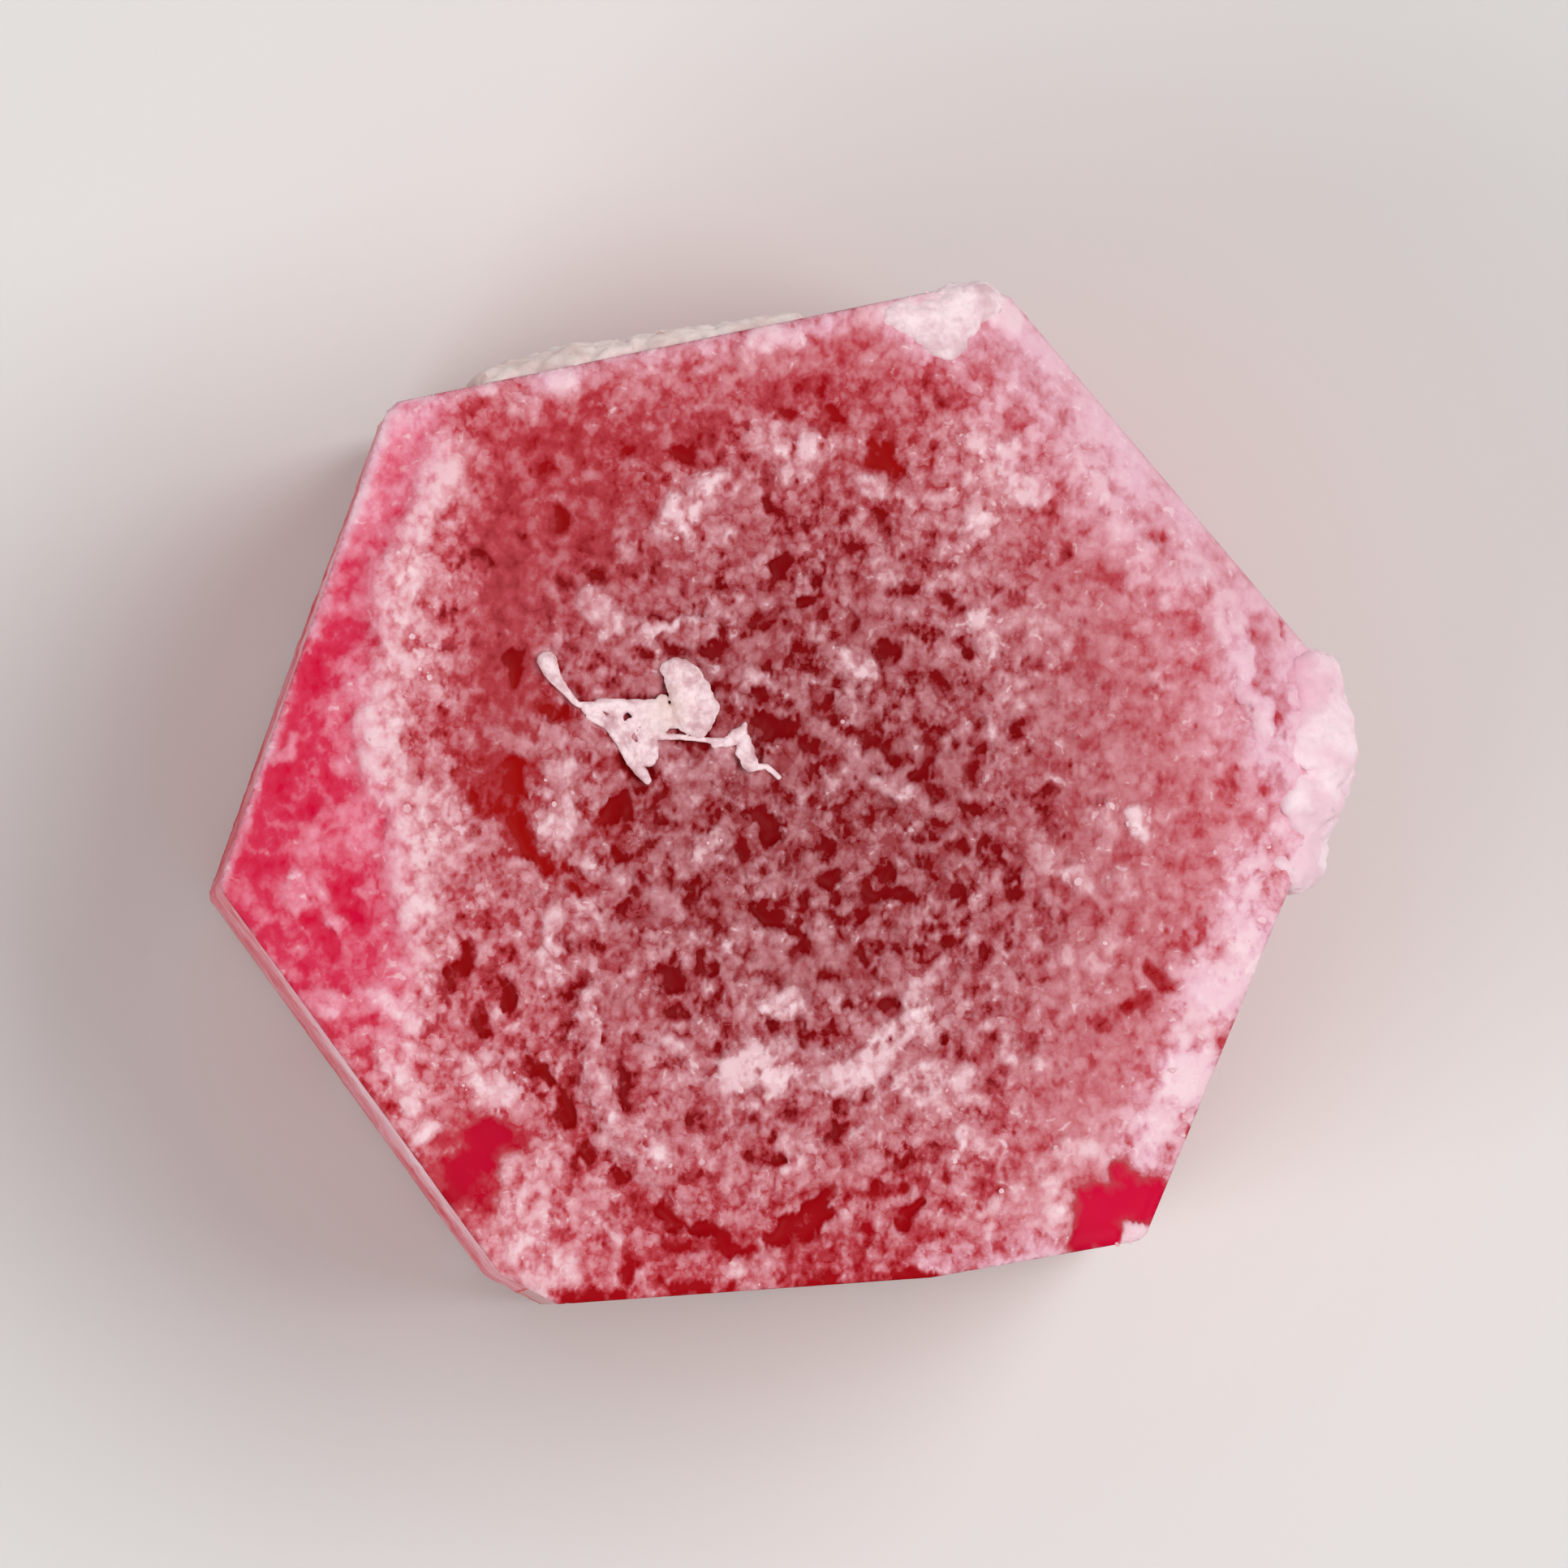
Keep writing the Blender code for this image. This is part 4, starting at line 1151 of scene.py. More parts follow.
def frost_relief():
    """The tree that lays the frost in grains, sinks the small etch pits and scores the walls."""
    tree = GeometryTree("frost_relief")
    grain_size = tree.size("Grain Size", 0.16 * MM)
    grain_height = tree.size("Grain Height", 0.05 * MM)
    pit_size = tree.size("Pit Size", 0.24 * MM)
    pit_depth = tree.size("Pit Depth", 0.025 * MM)
    seed = tree.size("Seed", 7.0)
    here = tree.add("GeometryNodeInputPosition").outputs[0]
    normal = tree.add("GeometryNodeInputNormal").outputs[0]
    slide = tree.add("ShaderNodeCombineXYZ", {0: seed, 1: seed, 2: 0.0}).outputs[0]
    place = tree.vector("ADD", here, tree.scaled(slide, SEED_STEP * MM))
    face = tree.named("face")

    eaten = tree.noise(place, tree.over(1.0, pit_size), detail=3.0, roughness=0.6, distortion=0.4)
    pit = tree.ease(tree.total((eaten, 1.0), (tree.named("pitted"), 0.16)), *PIT_EDGE)
    frost = tree.blend(face, wall_film(tree, place), face_frost(tree, place, grain_size, pit))

    lift = tree.times(tree.minus(tree.ease(frost, 0.0, 1.0), 0.5), grain_height)
    lift = tree.minus(lift, tree.times(pit, pit_depth))
    along_walls = tree.vector("MULTIPLY", place, SCORE_DRAW)
    scores = tree.noise(along_walls, per(SCORE_SIZE), detail=3.0, roughness=0.6)
    scored = tree.times(tree.minus(scores, 0.5), SCORE_DEPTH * MM)
    shift = tree.blend(face, scored, tree.times(lift, tree.named("inner")))
    height = tree.add("ShaderNodeSeparateXYZ", {0: here}).outputs["Z"]
    shift = tree.times(shift, tree.ease(height, 0.0, FOOT_FADE * MM))
    sockets = {"Geometry": tree.inputs.outputs["Geometry"], "Offset": tree.scaled(normal, shift)}
    moved = tree.add("GeometryNodeSetPosition", sockets).outputs[0]
    return tree.finish(tree.store(moved, "frost", frost))


# The beryl's finish: sizes of its finest grains and of its painted glints, and the thickness of frost at which
# its look changes.
GRIT_SIZE = 0.085
GRANULE_SIZE = 0.125
GRANULE_WARP = (0.07, 0.13)
VEIL_SIZE = 0.80
VEIL_DRAW = (1.0, 1.0, 0.4)
PAINTED_GLINT_SIZE = 0.10
SKIN_SIZE = 0.035
SKIN_DEPTH = 0.015
MATT = (0.08, 0.28)  # from glassy to matt
PINK = (0.28, 0.70)  # from red to pink
SNOWY = (0.68, 1.04)  # from pink to white
WALL_LIVELINESS = 0.4


def beryl_frost(tree, here, wall):
    """The frost with its finest grain, and a random share for each granule."""
    grit = tree.noise(here, per(GRIT_SIZE), detail=3.0, roughness=0.6, distortion=0.3)
    warp_size, warp_push = GRANULE_WARP
    bent = tree.bent(here, per(warp_size), warp_push, detail=2.0)
    granule = tree.add("ShaderNodeTexVoronoi", {"Vector": bent, "Scale": per(GRANULE_SIZE)})
    lot = tree.add("ShaderNodeSeparateColor", {0: granule.outputs["Color"]}).outputs[0]
    grain = tree.total(
        (tree.minus(0.42, granule.outputs["Distance"]), 0.42),
        (tree.minus(lot, 0.5), 0.24),
        (tree.minus(grit, 0.5), 0.65),
    )
    lively = tree.blend(wall, tree.mask("lively"), WALL_LIVELINESS)
    return tree.total((tree.mask("frost"), 1.0), (grain, lively)), lot


def beryl_colour(tree, settings, here, wall, frost, lot):
    """Clear red, frosted red, pink frost and snow, as the frost thickens, with painted shade in the middle,
    painted light and a painted glow in the clear red, and painted glints.
    """
    shaded_middle, crimson, painted_glow = tree.mask("shaded_middle"), tree.mask("crimson"), tree.mask("painted_glow")
    veils = tree.vector("MULTIPLY", here, VEIL_DRAW)
    veils = tree.ease(tree.noise(veils, per(VEIL_SIZE), detail=4.0, roughness=0.6), 0.38, 0.62)
    walls = tree.mix(veils, settings.wine, settings.garnet)

    # Painted glow: the clear red is painted brighter where light shines through the beryl.
    clear = tree.mix(painted_glow, settings.shaded_middle, settings.painted_glow)
    # Painted light: a brighter clear red near the edges, where light comes in through the walls.
    clear = tree.mix(tree.mask("edge"), clear, settings.ruby)
    # Painted light: bright red at the corner facets and in the crimson stretch.
    clear = tree.mix(tree.mask("sidelit_scarlet"), clear, settings.sidelit_scarlet)
    clear = tree.mix(wall, clear, walls)

    # Painted shade: in the middle, the red under the frost is painted darker and more muted.
    red = tree.mix(shaded_middle, settings.rose, settings.dusk)
    # Painted glow in the frosted red as well.
    red = tree.mix(tree.times(painted_glow, 0.25), red, settings.painted_glow)
    red = tree.mix(crimson, red, settings.raspberry)
    red = tree.mix(wall, red, tree.mix(0.35, settings.wine, walls))

    # Painted shade: the frost is painted greyer in the middle.
    pink = tree.mix(shaded_middle, settings.frost, settings.shaded_veil)
    pink = tree.mix(crimson, pink, settings.blush)
    pink = tree.mix(tree.mask("rim"), pink, settings.lilac)
    snow = tree.mix(tree.times(lot, 0.45), settings.white, pink)

    bare, covered = tree.blend(shaded_middle, 0.0, 0.10), tree.blend(shaded_middle, 0.30, 0.23)
    look = tree.mix(tree.ramp(frost, bare, covered), clear, red)
    look = tree.mix(tree.ramp(frost, *PINK), look, pink)
    look = tree.mix(tree.ramp(frost, *SNOWY), look, snow)
    # Painted glints: white specks painted into the colour where the frost is thick, standing for small
    # highlights on its grains.
    painted_glints = tree.ease(tree.noise(here, per(PAINTED_GLINT_SIZE), detail=1.0, distortion=0.6), 0.66, 0.74)
    painted_glints = tree.times(painted_glints, tree.ramp(frost, 0.30, 0.60, 0.0, 0.5))
    return tree.mix(painted_glints, look, settings.white)


def beryl_material(settings):
    """Red beryl: glassy and clear in its pits and on its faces, under a frost that whitens as it thickens."""
    material, tree = new_material("beryl_frosted")
    here = tree.add("ShaderNodeTexCoord").outputs["Object"]
    wall = tree.minus(1.0, tree.mask("face"))
    frost, lot = beryl_frost(tree, here, wall)
    matt = tree.ease(frost, *MATT)
    skin = tree.noise(here, per(SKIN_SIZE), detail=2.0, roughness=0.6)
    sockets = {"Strength": tree.blend(matt, 0.08, 0.6), "Distance": SKIN_DEPTH * MM, "Height": skin}
    bump = tree.add("ShaderNodeBump", sockets).outputs[0]
    see_through = tree.blend(matt, tree.blend(wall, 0.08, 0.30), tree.blend(wall, 0.04, 0.10))
    sockets = {
        "Base Color": beryl_colour(tree, settings, here, wall, frost, lot),
        "Roughness": tree.blend(matt, tree.blend(wall, 0.50, 0.14), 0.60),
        "IOR": settings.ior,
        "Specular IOR Level": 0.02,
        "Coat Weight": tree.times(wall, tree.blend(matt, 0.14, 0.06)),
        "Coat Roughness": 0.08,
        "Transmission Weight": see_through,
        "Normal": bump,
    }
    surface = tree.add("ShaderNodeBsdfPrincipled", sockets).outputs[0]
    sockets = {"Color": settings.tint, "Density": settings.tint_density}
    volume = tree.add("ShaderNodeVolumeAbsorption", sockets).outputs[0]
    tree.add("ShaderNodeOutputMaterial", {"Surface": surface, "Volume": volume})
    return material


# ---------------------------------------------------------------------------------------------------------
# The crusts, the residue and the crumbs.

# Lumps of each crust, as in the part's source: centre (x, y, z) and half lengths (x, y, z).
MATRIX_KNOB = (
    ((4.18, 0.98, 5.86), (0.38, 0.27, 0.34)),
    ((4.24, 0.76, 5.78), (0.38, 0.34, 0.46)),
    ((4.26, 0.40, 6.02), (0.43, 0.40, 0.34)),
    ((4.27, 0.28, 5.55), (0.42, 0.38, 0.60)),
    ((4.20, 0.02, 5.98), (0.38, 0.34, 0.36)),
    ((4.16, -0.26, 5.70), (0.32, 0.30, 0.50)),
    ((4.08, -0.54, 5.86), (0.33, 0.25, 0.38)),
    ((4.24, 0.50, 4.95), (0.38, 0.38, 0.56)),
    ((4.20, 0.12, 4.80), (0.36, 0.36, 0.50)),
    ((4.22, 0.62, 4.25), (0.34, 0.34, 0.50)),
    ((4.22, 0.46, 3.70), (0.32, 0.28, 0.42)),
)
EDGE_RIND = (
    ((-2.30, 3.30, 5.95), (0.30, 0.24, 0.34)),
    ((-1.95, 3.38, 5.75), (0.34, 0.27, 0.50)),
    ((-1.66, 3.44, 5.85), (0.32, 0.28, 0.44)),
    ((-1.30, 3.51, 5.80), (0.34, 0.26, 0.48)),
    ((-0.95, 3.59, 5.92), (0.32, 0.24, 0.36)),
    ((-0.62, 3.67, 5.86), (0.30, 0.20, 0.40)),
    ((-0.28, 3.74, 5.95), (0.28, 0.17, 0.30)),
    ((0.02, 3.80, 5.97), (0.24, 0.17, 0.27)),
    ((-1.70, 3.40, 5.20), (0.34, 0.24, 0.46)),
    ((-1.20, 3.50, 5.15), (0.30, 0.22, 0.40)),
)
CORNER_CRUST = (
    ((0.96, 3.93, 6.25), (0.21, 0.14, 0.13)),
    ((1.18, 3.86, 6.25), (0.26, 0.22, 0.14)),
    ((1.32, 3.70, 6.25), (0.17, 0.16, 0.13)),
    ((1.42, 4.00, 6.18), (0.28, 0.20, 0.18)),
    ((1.60, 4.02, 6.04), (0.20, 0.19, 0.24)),
    ((1.58, 4.06, 5.72), (0.20, 0.17, 0.34)),
)
# How each crust is filled: granules in a lump, and their least and greatest radius.
GRANULE_COUNT = 420
GRANULE_RADII = {"matrix_knob": (0.07, 0.13), "edge_rind": (0.055, 0.10), "corner_crust": (0.045, 0.08)}
GRANULE_CROWDING = 5.0  # the higher, the more of them lie near a lump's skin
LEAST_ROOM = 0.02  # how far a granule's middle may always lie from its lump's
CRUST_SINK = 0.04  # how deep granules may lie in the crystal
BRIDGE_REACH = 0.65  # lumps closer than this are joined by one between them

# The residue: a head on a neck, a film, a thick lobe, a drop, and a thread that runs on.
RESIDUE_NECKS = (
    (((-1.94, 1.12), 0.080), ((-1.91, 1.04), 0.070), ((-1.85, 0.94), 0.044), ((-1.69, 0.76), 0.024)),
    (((-1.69, 0.76), 0.024), ((-1.52, 0.74), 0.034), ((-1.38, 0.76), 0.034), ((-1.22, 0.71), 0.036)),
    (((-1.60, 0.66), 0.024), ((-1.44, 0.58), 0.030), ((-1.34, 0.44), 0.032), ((-1.26, 0.30), 0.040)),
    (((-1.26, 0.30), 0.040), ((-1.16, 0.20), 0.050), ((-1.12, 0.14), 0.032)),
    (((-1.06, 0.50), 0.030), ((-0.88, 0.50), 0.024), ((-0.70, 0.48), 0.022), ((-0.50, 0.46), 0.030)),
    (((-0.58, 0.43), 0.024), ((-0.46, 0.46), 0.034), ((-0.37, 0.50), 0.034), ((-0.33, 0.60), 0.024)),
    (((-0.35, 0.44), 0.040), ((-0.30, 0.32), 0.036), ((-0.26, 0.25), 0.032)),
    (((-0.26, 0.25), 0.030), ((-0.15, 0.26), 0.024), ((-0.05, 0.17), 0.022)),
)
RESIDUE_FILM = (
    (-1.66, 0.75), (-1.38, 0.77), (-1.08, 0.76), (-0.96, 0.84), (-0.80, 0.80), (-0.62, 0.70), (-0.68, 0.56),
    (-0.96, 0.60), (-1.05, 0.48), (-1.08, 0.30), (-1.22, 0.26), (-1.28, 0.44), (-1.42, 0.60),
)
RESIDUE_LOBE = (
    (-0.95, 1.06), (-0.84, 1.08), (-0.75, 1.01), (-0.68, 0.90), (-0.64, 0.78), (-0.59, 0.72), (-0.66, 0.64),
    (-0.69, 0.55), (-0.78, 0.55), (-0.84, 0.70), (-0.90, 0.88),
)
RESIDUE_LEAF = (
    (-0.50, 0.45), (-0.42, 0.53), (-0.35, 0.55), (-0.31, 0.44), (-0.26, 0.30), (-0.25, 0.24), (-0.32, 0.27),
    (-0.40, 0.38),
)
RESIDUE_SPAN = ((-1.8, -0.1), (0.1, 1.2))  # what the residue covers along X and along Y
FILM_RADIUS = 0.034
LOBE_RADIUS = 0.058
FILM_SPACING = 0.022
FILM_NOISE = (0.09, 3.0)  # size and layer
FILM_HOLES = 0.24  # noise above which the film has a hole
FILM_LIP = 0.045
FILM_LIFT = 0.55  # how high a granule's middle lies, as a share of its radius
NECK_SPACING = 0.4  # from granule to granule along a neck, as a share of their radius

# Each finish of matrix and residue: its pale grains, the darker colour of its clouds and the painted shade of
# the hollows between its grains, its stained specks, and the sizes of its grains and its clouds.
CHALKY_FINISHES = {
    "matrix_chalk": (tone(250, 226, 231), tone(224, 186, 193), tone(212, 184, 184), 0.06, 0.25),
    "matrix_flushed": (tone(252, 226, 234), tone(238, 198, 210), tone(212, 184, 184), 0.06, 0.45),
    "matrix_crumbs": (tone(240, 200, 206), tone(222, 162, 172), tone(206, 132, 142), 0.05, 0.45),
    "rind_cream": (tone(246, 228, 224), tone(228, 198, 194), tone(206, 160, 146), 0.05, 0.45),
    "residue_skin": (tone(252, 226, 230), tone(214, 168, 174), tone(184, 140, 132), 0.05, 0.16),
}
# Where two of them are tinted: the middle of the tint, its reach, and its colour.
TINTS = {
    "matrix_flushed": ((3.90, 1.05, 6.15), 0.75, tone(234, 160, 184)),
    "residue_skin": ((-0.96, 0.72, 6.28), 0.26, tone(232, 206, 196)),
}
# Each crust: its node, its lumps, its slot, its finish, and the sizes of its voxels and its bumps.
CRUSTS = (
    ("matrix_knob", MATRIX_KNOB, "matrix", "matrix_flushed", 0.040, 0.12),
    ("edge_rind", EDGE_RIND, "rind", "rind_cream", 0.034, 0.10),
    ("corner_crust", CORNER_CRUST, "matrix", "matrix_chalk", 0.026, 0.08),
)
BUMP_HEIGHT = 0.36  # as a share of a bump's size
RESIDUE_VOXEL = 0.012
RESIDUE_BUMP = (0.05, 0.012)  # size and height
SPECK_SIZE = 0.16
CHALK_DEPTH = 0.012


def depth_inside(points):
    """How deep points lie inside the plain crystal, below its walls and its end face."""
    x, y, z = points.T
    return np.minimum(outline_insets(x, y).min(axis=0) - WALL_INSET, face_height(x, y) - z)


def bridged(lumps):
    """The lumps, with one more halfway between each two that follow each other closely."""
    between = []
    for (centre, half), (next_centre, next_half) in zip(lumps, lumps[1:]):
        if math.dist(centre, next_centre) < BRIDGE_REACH:
            middle = tuple((a + b) / 2 for a, b in zip(centre, next_centre))
            between.append((middle, tuple((a + b) / 2 for a, b in zip(half, next_half))))
    return lumps + tuple(between)


def crust_granules(name, lumps):
    """The centres and radii of the granules that fill a crust's lumps where they stand out of the crystal."""
    lumps = bridged(lumps)
    smallest, largest = GRANULE_RADII[name]
    draw = np.random.default_rng(len(lumps))
    centres, radii = [], []
    for centre, half_lengths in lumps:
        radius = draw.uniform(smallest, largest, GRANULE_COUNT)
        outward = draw.normal(size=(GRANULE_COUNT, 3))
        outward /= np.linalg.norm(outward, axis=1)[:, None]
        reach = draw.uniform(size=GRANULE_COUNT) ** (1.0 / GRANULE_CROWDING)
        room = np.maximum(np.array(half_lengths)[None, :] - radius[:, None], LEAST_ROOM)
        centres.append(np.array(centre) + outward * reach[:, None] * room)
        radii.append(radius)
    centres, radii = np.concatenate(centres), np.concatenate(radii)
    kept = depth_inside(centres) < CRUST_SINK
    return centres[kept], radii[kept]


def inside_outline(x, y, outline):
    """True for points of the plan inside a closed outline."""
    within = np.zeros(np.shape(x), bool)
    for (x0, y0), (x1, y1) in zip(outline, outline[1:] + outline[:1]):
        if y0 == y1:
            continue
        crosses = (y0 > y) != (y1 > y)
        within ^= crosses & (x < x0 + (y - y0) * (x1 - x0) / (y1 - y0))
    return within


def residue_granules():
    """The centres and radii of the small lumps that make the residue, laid on the end face."""
    places, radii = [], []
    for run in RESIDUE_NECKS:
        for ((x0, y0), r0), ((x1, y1), r1) in zip(run, run[1:]):
            count = math.ceil(math.dist((x0, y0), (x1, y1)) / (NECK_SPACING * min(r0, r1))) + 1
            for t in np.linspace(0.0, 1.0, count):
                places.append((x0 + t * (x1 - x0), y0 + t * (y1 - y0)))
                radii.append(r0 + t * (r1 - r0))
    across, along = (np.arange(low, high, FILM_SPACING) for low, high in RESIDUE_SPAN)
    x, y = (grid.ravel() for grid in np.meshgrid(across, along))
    sheets = ((RESIDUE_FILM, FILM_RADIUS), (RESIDUE_LEAF, FILM_RADIUS), (RESIDUE_LOBE, LOBE_RADIUS))
    uneven = plan_noise(x, y, *FILM_NOISE)
    for outline, radius in sheets:
        within = inside_outline(x, y, outline)
        if radius == FILM_RADIUS:
            within &= uneven < FILM_HOLES
        lip = band(x, y, outline + outline[:1], FILM_LIP)
        places += list(zip(x[within], y[within]))
        radii += list(radius * np.clip(0.75 + 0.50 * lip - 0.6 * uneven, 0.64, 1.5)[within])
    places, radii = np.array(places), np.array(radii)
    height = face_height(places[:, 0], places[:, 1]) + FILM_LIFT * radii
    return np.column_stack((places, height)), radii


def granule_mesh(name, centres, radii):
    """Loose points that carry their radius, in millimetres."""
    mesh = bpy.data.meshes.new(name)
    mesh.from_pydata([tuple(centre) for centre in centres], [], [])
    store_values(mesh, "radius", radii)
    return mesh


def granular_mass():
    """The tree that merges round granules into one rough mass, given and worked in millimetres."""
    tree = GeometryTree("granular_mass")
    voxel = tree.size("Voxel", 0.025)
    grain_size = tree.size("Grain Size", 0.07)
    grain_height = tree.size("Grain Height", 0.02)
    sockets = {"Mesh": tree.inputs.outputs["Geometry"], "Radius": tree.named("radius")}
    points = tree.add("GeometryNodeMeshToPoints", sockets).outputs[0]
    sockets = {"Points": points, "Voxel Size": voxel, "Radius": tree.named("radius")}
    volume = tree.add("GeometryNodePointsToVolume", sockets, resolution_mode="VOXEL_SIZE").outputs[0]
    skin = tree.add("GeometryNodeVolumeToMesh", {"Volume": volume, "Threshold": 0.1}).outputs[0]
    here = tree.add("GeometryNodeInputPosition").outputs[0]
    normal = tree.add("GeometryNodeInputNormal").outputs[0]
    coarse = tree.noise(here, tree.over(0.3, grain_size), detail=2.0, roughness=0.5)
    fine = tree.noise(here, tree.over(1.0, grain_size), detail=3.0, roughness=0.65)
    bumps = tree.total((coarse, 1.6), (fine, 1.0))
    lift = tree.times(tree.minus(bumps, 1.45), grain_height)
    sockets = {"Geometry": skin, "Offset": tree.scaled(normal, lift)}
    rough = tree.add("GeometryNodeSetPosition", sockets).outputs[0]
    sockets = {"Geometry": rough, "Scale": (MM, MM, MM)}
    sized = tree.add("GeometryNodeTransform", sockets).outputs[0]
    return tree.finish(sized)


def chalky_material(name):
    """Matrix or residue: pale grains with painted shade in the hollows between them, darker clouds, and a few
    stained specks.
    """
    pale, shade, stain, grain_size, cloud_size = CHALKY_FINISHES[name]
    material, tree = new_material(name)
    here = tree.add("ShaderNodeTexCoord").outputs["Object"]
    cloudy = tree.noise(here, per(cloud_size), detail=3.0, roughness=0.6)
    grains = tree.noise(here, per(grain_size), detail=4.0, roughness=0.7)
    specks = tree.noise(here, per(SPECK_SIZE), detail=1.0)
    look = tree.mix(tree.ease(cloudy, 0.40, 0.68), pale, shade)
    # Painted shade: the hollows between the grains, where the bump is lowest, are painted darker.
    look = tree.mix(tree.times(tree.ease(grains, 0.55, 0.30), 0.45), look, shade)
    if name in TINTS:
        middle, reach, tint = TINTS[name]
        sockets = {0: here, 1: Vector(middle) * MM}
        away = tree.add("ShaderNodeVectorMath", sockets, operation="DISTANCE").outputs[1]
        near = tree.ramp(away, reach * MM, 0.1 * reach * MM)
        look = tree.mix(tree.times(near, tree.ease(cloudy, 0.25, 0.75, 0.4, 1.0)), look, tint)
    look = tree.mix(tree.times(tree.ease(specks, 0.70, 0.76), 0.6), look, stain)
    sockets = {"Strength": 0.6, "Distance": CHALK_DEPTH * MM, "Height": grains}
    bump = tree.add("ShaderNodeBump", sockets).outputs[0]
    sockets = {"Base Color": look, "Roughness": tree.ease(grains, 0.3, 0.7, 0.95, 0.72), "Normal": bump}
    shader = tree.add("ShaderNodeBsdfPrincipled", sockets).outputs[0]
    tree.add("ShaderNodeOutputMaterial", {"Surface": shader})
    return material


CRUMBS_PER_SQUARE_METRE = 5.0e7
CRUMB_RADII = (0.012, 0.042)
CRUMB_RARITY = 2.5  # the higher, the rarer are large crumbs
CRUMB_SHAPES = ((0.6, 0.6, 0.25), (1.3, 1.3, 0.45))  # flattest and fullest
CRUMB_TURNS = ((-0.3, -0.3, 0.0), (0.3, 0.3, 6.28))  # in radians


def crumb_scatter():
    """The tree that strews crumbs over the crystal, thickest where the mask crumbs is high."""
    tree = GeometryTree("crumb_scatter")
    density = tree.size("Crumbs per Square Metre", CRUMBS_PER_SQUARE_METRE)
    smallest, largest = CRUMB_RADII
    smallest = tree.size("Smallest", smallest * MM)
    largest = tree.size("Largest", largest * MM)
    seed = tree.size("Seed", 5.0)
    whole = tree.math("ROUND", seed, 0.0)
    sockets = {
        "Mesh": tree.inputs.outputs["Geometry"],
        "Density": tree.times(density, tree.named("crumbs")),
        "Seed": whole,
    }
    strewn = tree.add("GeometryNodeDistributePointsOnFaces", sockets, distribute_method="RANDOM")
    grain = tree.add("GeometryNodeMeshIcoSphere", {"Radius": 1.0, "Subdivisions": 1}).outputs[0]
    luck = tree.add("FunctionNodeRandomValue", {2: 0.0, 3: 1.0, "Seed": whole}, data_type="FLOAT").outputs[1]
    size = tree.blend(tree.math("POWER", luck, CRUMB_RARITY), smallest, largest)
    sockets = {0: CRUMB_SHAPES[0], 1: CRUMB_SHAPES[1], "Seed": whole}
    shape = tree.add("FunctionNodeRandomValue", sockets, data_type="FLOAT_VECTOR").outputs[0]
    sockets = {0: CRUMB_TURNS[0], 1: CRUMB_TURNS[1]}
    turn = tree.add("FunctionNodeRandomValue", sockets, data_type="FLOAT_VECTOR").outputs[0]
    sockets = {
        "Points": strewn.outputs["Points"],
        "Instance": grain,
        "Rotation": turn,
        "Scale": tree.scaled(shape, size),
    }
    crumbs = tree.add("GeometryNodeInstanceOnPoints", sockets).outputs[0]
    return tree.finish(crumbs)


# ---------------------------------------------------------------------------------------------------------
# The stage.

FLOOR_REACH = 2000.0
FLOOR_DROP = 0.02  # keeps the floor just below the crystal's foot
FLOOR_CLOUDS = (60.0, 0.06, (0.6, 0.6, 0.6, 1.0))  # their scale, strength and colour
# Each light: its width, its azimuth and elevation, and its distance.
KEY_LIGHT = (100.0, 18.0, 62.0, 160.0)
FILL_LIGHT = (120.0, 215.0, 42.0, 180.0)
LIGHT_AIM = (0.0, 0.0, 4.0)
SKY_BAND = (0.35, 0.90)  # rise of the sky between its bright horizon and its dim zenith
VIEW_CENTRE = (-0.013, 0.115, C_FACE_LEVEL)
VIEW_WIDTH = 12.73566  # what the camera sees across, at the level of the end face
SENSOR_WIDTH = 36.0
VIEW_CLIP = (10.0, 20000.0)


def direction(azimuth, elevation):
    """The unit vector at two angles in degrees."""
    turn, rise = math.radians(azimuth), math.radians(elevation)
    return Vector((math.cos(rise) * math.cos(turn), math.cos(rise) * math.sin(turn), math.sin(rise)))


def studio_floor(studio):
    """A wide pale sheet just below the crystal."""
    mesh = bpy.data.meshes.new("studio_floor")
    sheet = bmesh.new()
    bmesh.ops.create_grid(sheet, x_segments=4, y_segments=4, size=FLOOR_REACH * MM)
    for vert in sheet.verts:
        vert.co.z = -FLOOR_DROP * MM
    sheet.to_mesh(mesh)
    sheet.free()
    material, tree = new_material("studio_floor")
    scale, strength, grey = FLOOR_CLOUDS
    clouds = tree.noise(tree.add("ShaderNodeTexCoord").outputs["Object"], scale, detail=2.0)
    shade = tree.mix(tree.times(clouds, strength), studio.floor, grey)
    shader = tree.add("ShaderNodeBsdfPrincipled", {"Base Color": shade, "Roughness": 0.9}).outputs[0]
    tree.add("ShaderNodeOutputMaterial", {"Surface": shader})
    mesh.materials.append(material)
    return loose_object("studio_floor", mesh)


def studio_light(name, power, place):
    """A soft disk of light that faces the crystal and that the camera doesn't see."""
    width, azimuth, elevation, distance = place
    lamp = bpy.data.lights.new(name, "AREA")
    lamp.energy = power
    lamp.shape = "DISK"
    lamp.size = width * MM
    made = bpy.data.objects.new(name, lamp)
    made.location = direction(azimuth, elevation) * distance * MM
    aim = Vector(LIGHT_AIM) * MM - made.location
    made.rotation_euler = aim.to_track_quat("-Z", "Y").to_euler()
    made.visible_camera = False
    bpy.context.scene.collection.objects.link(made)


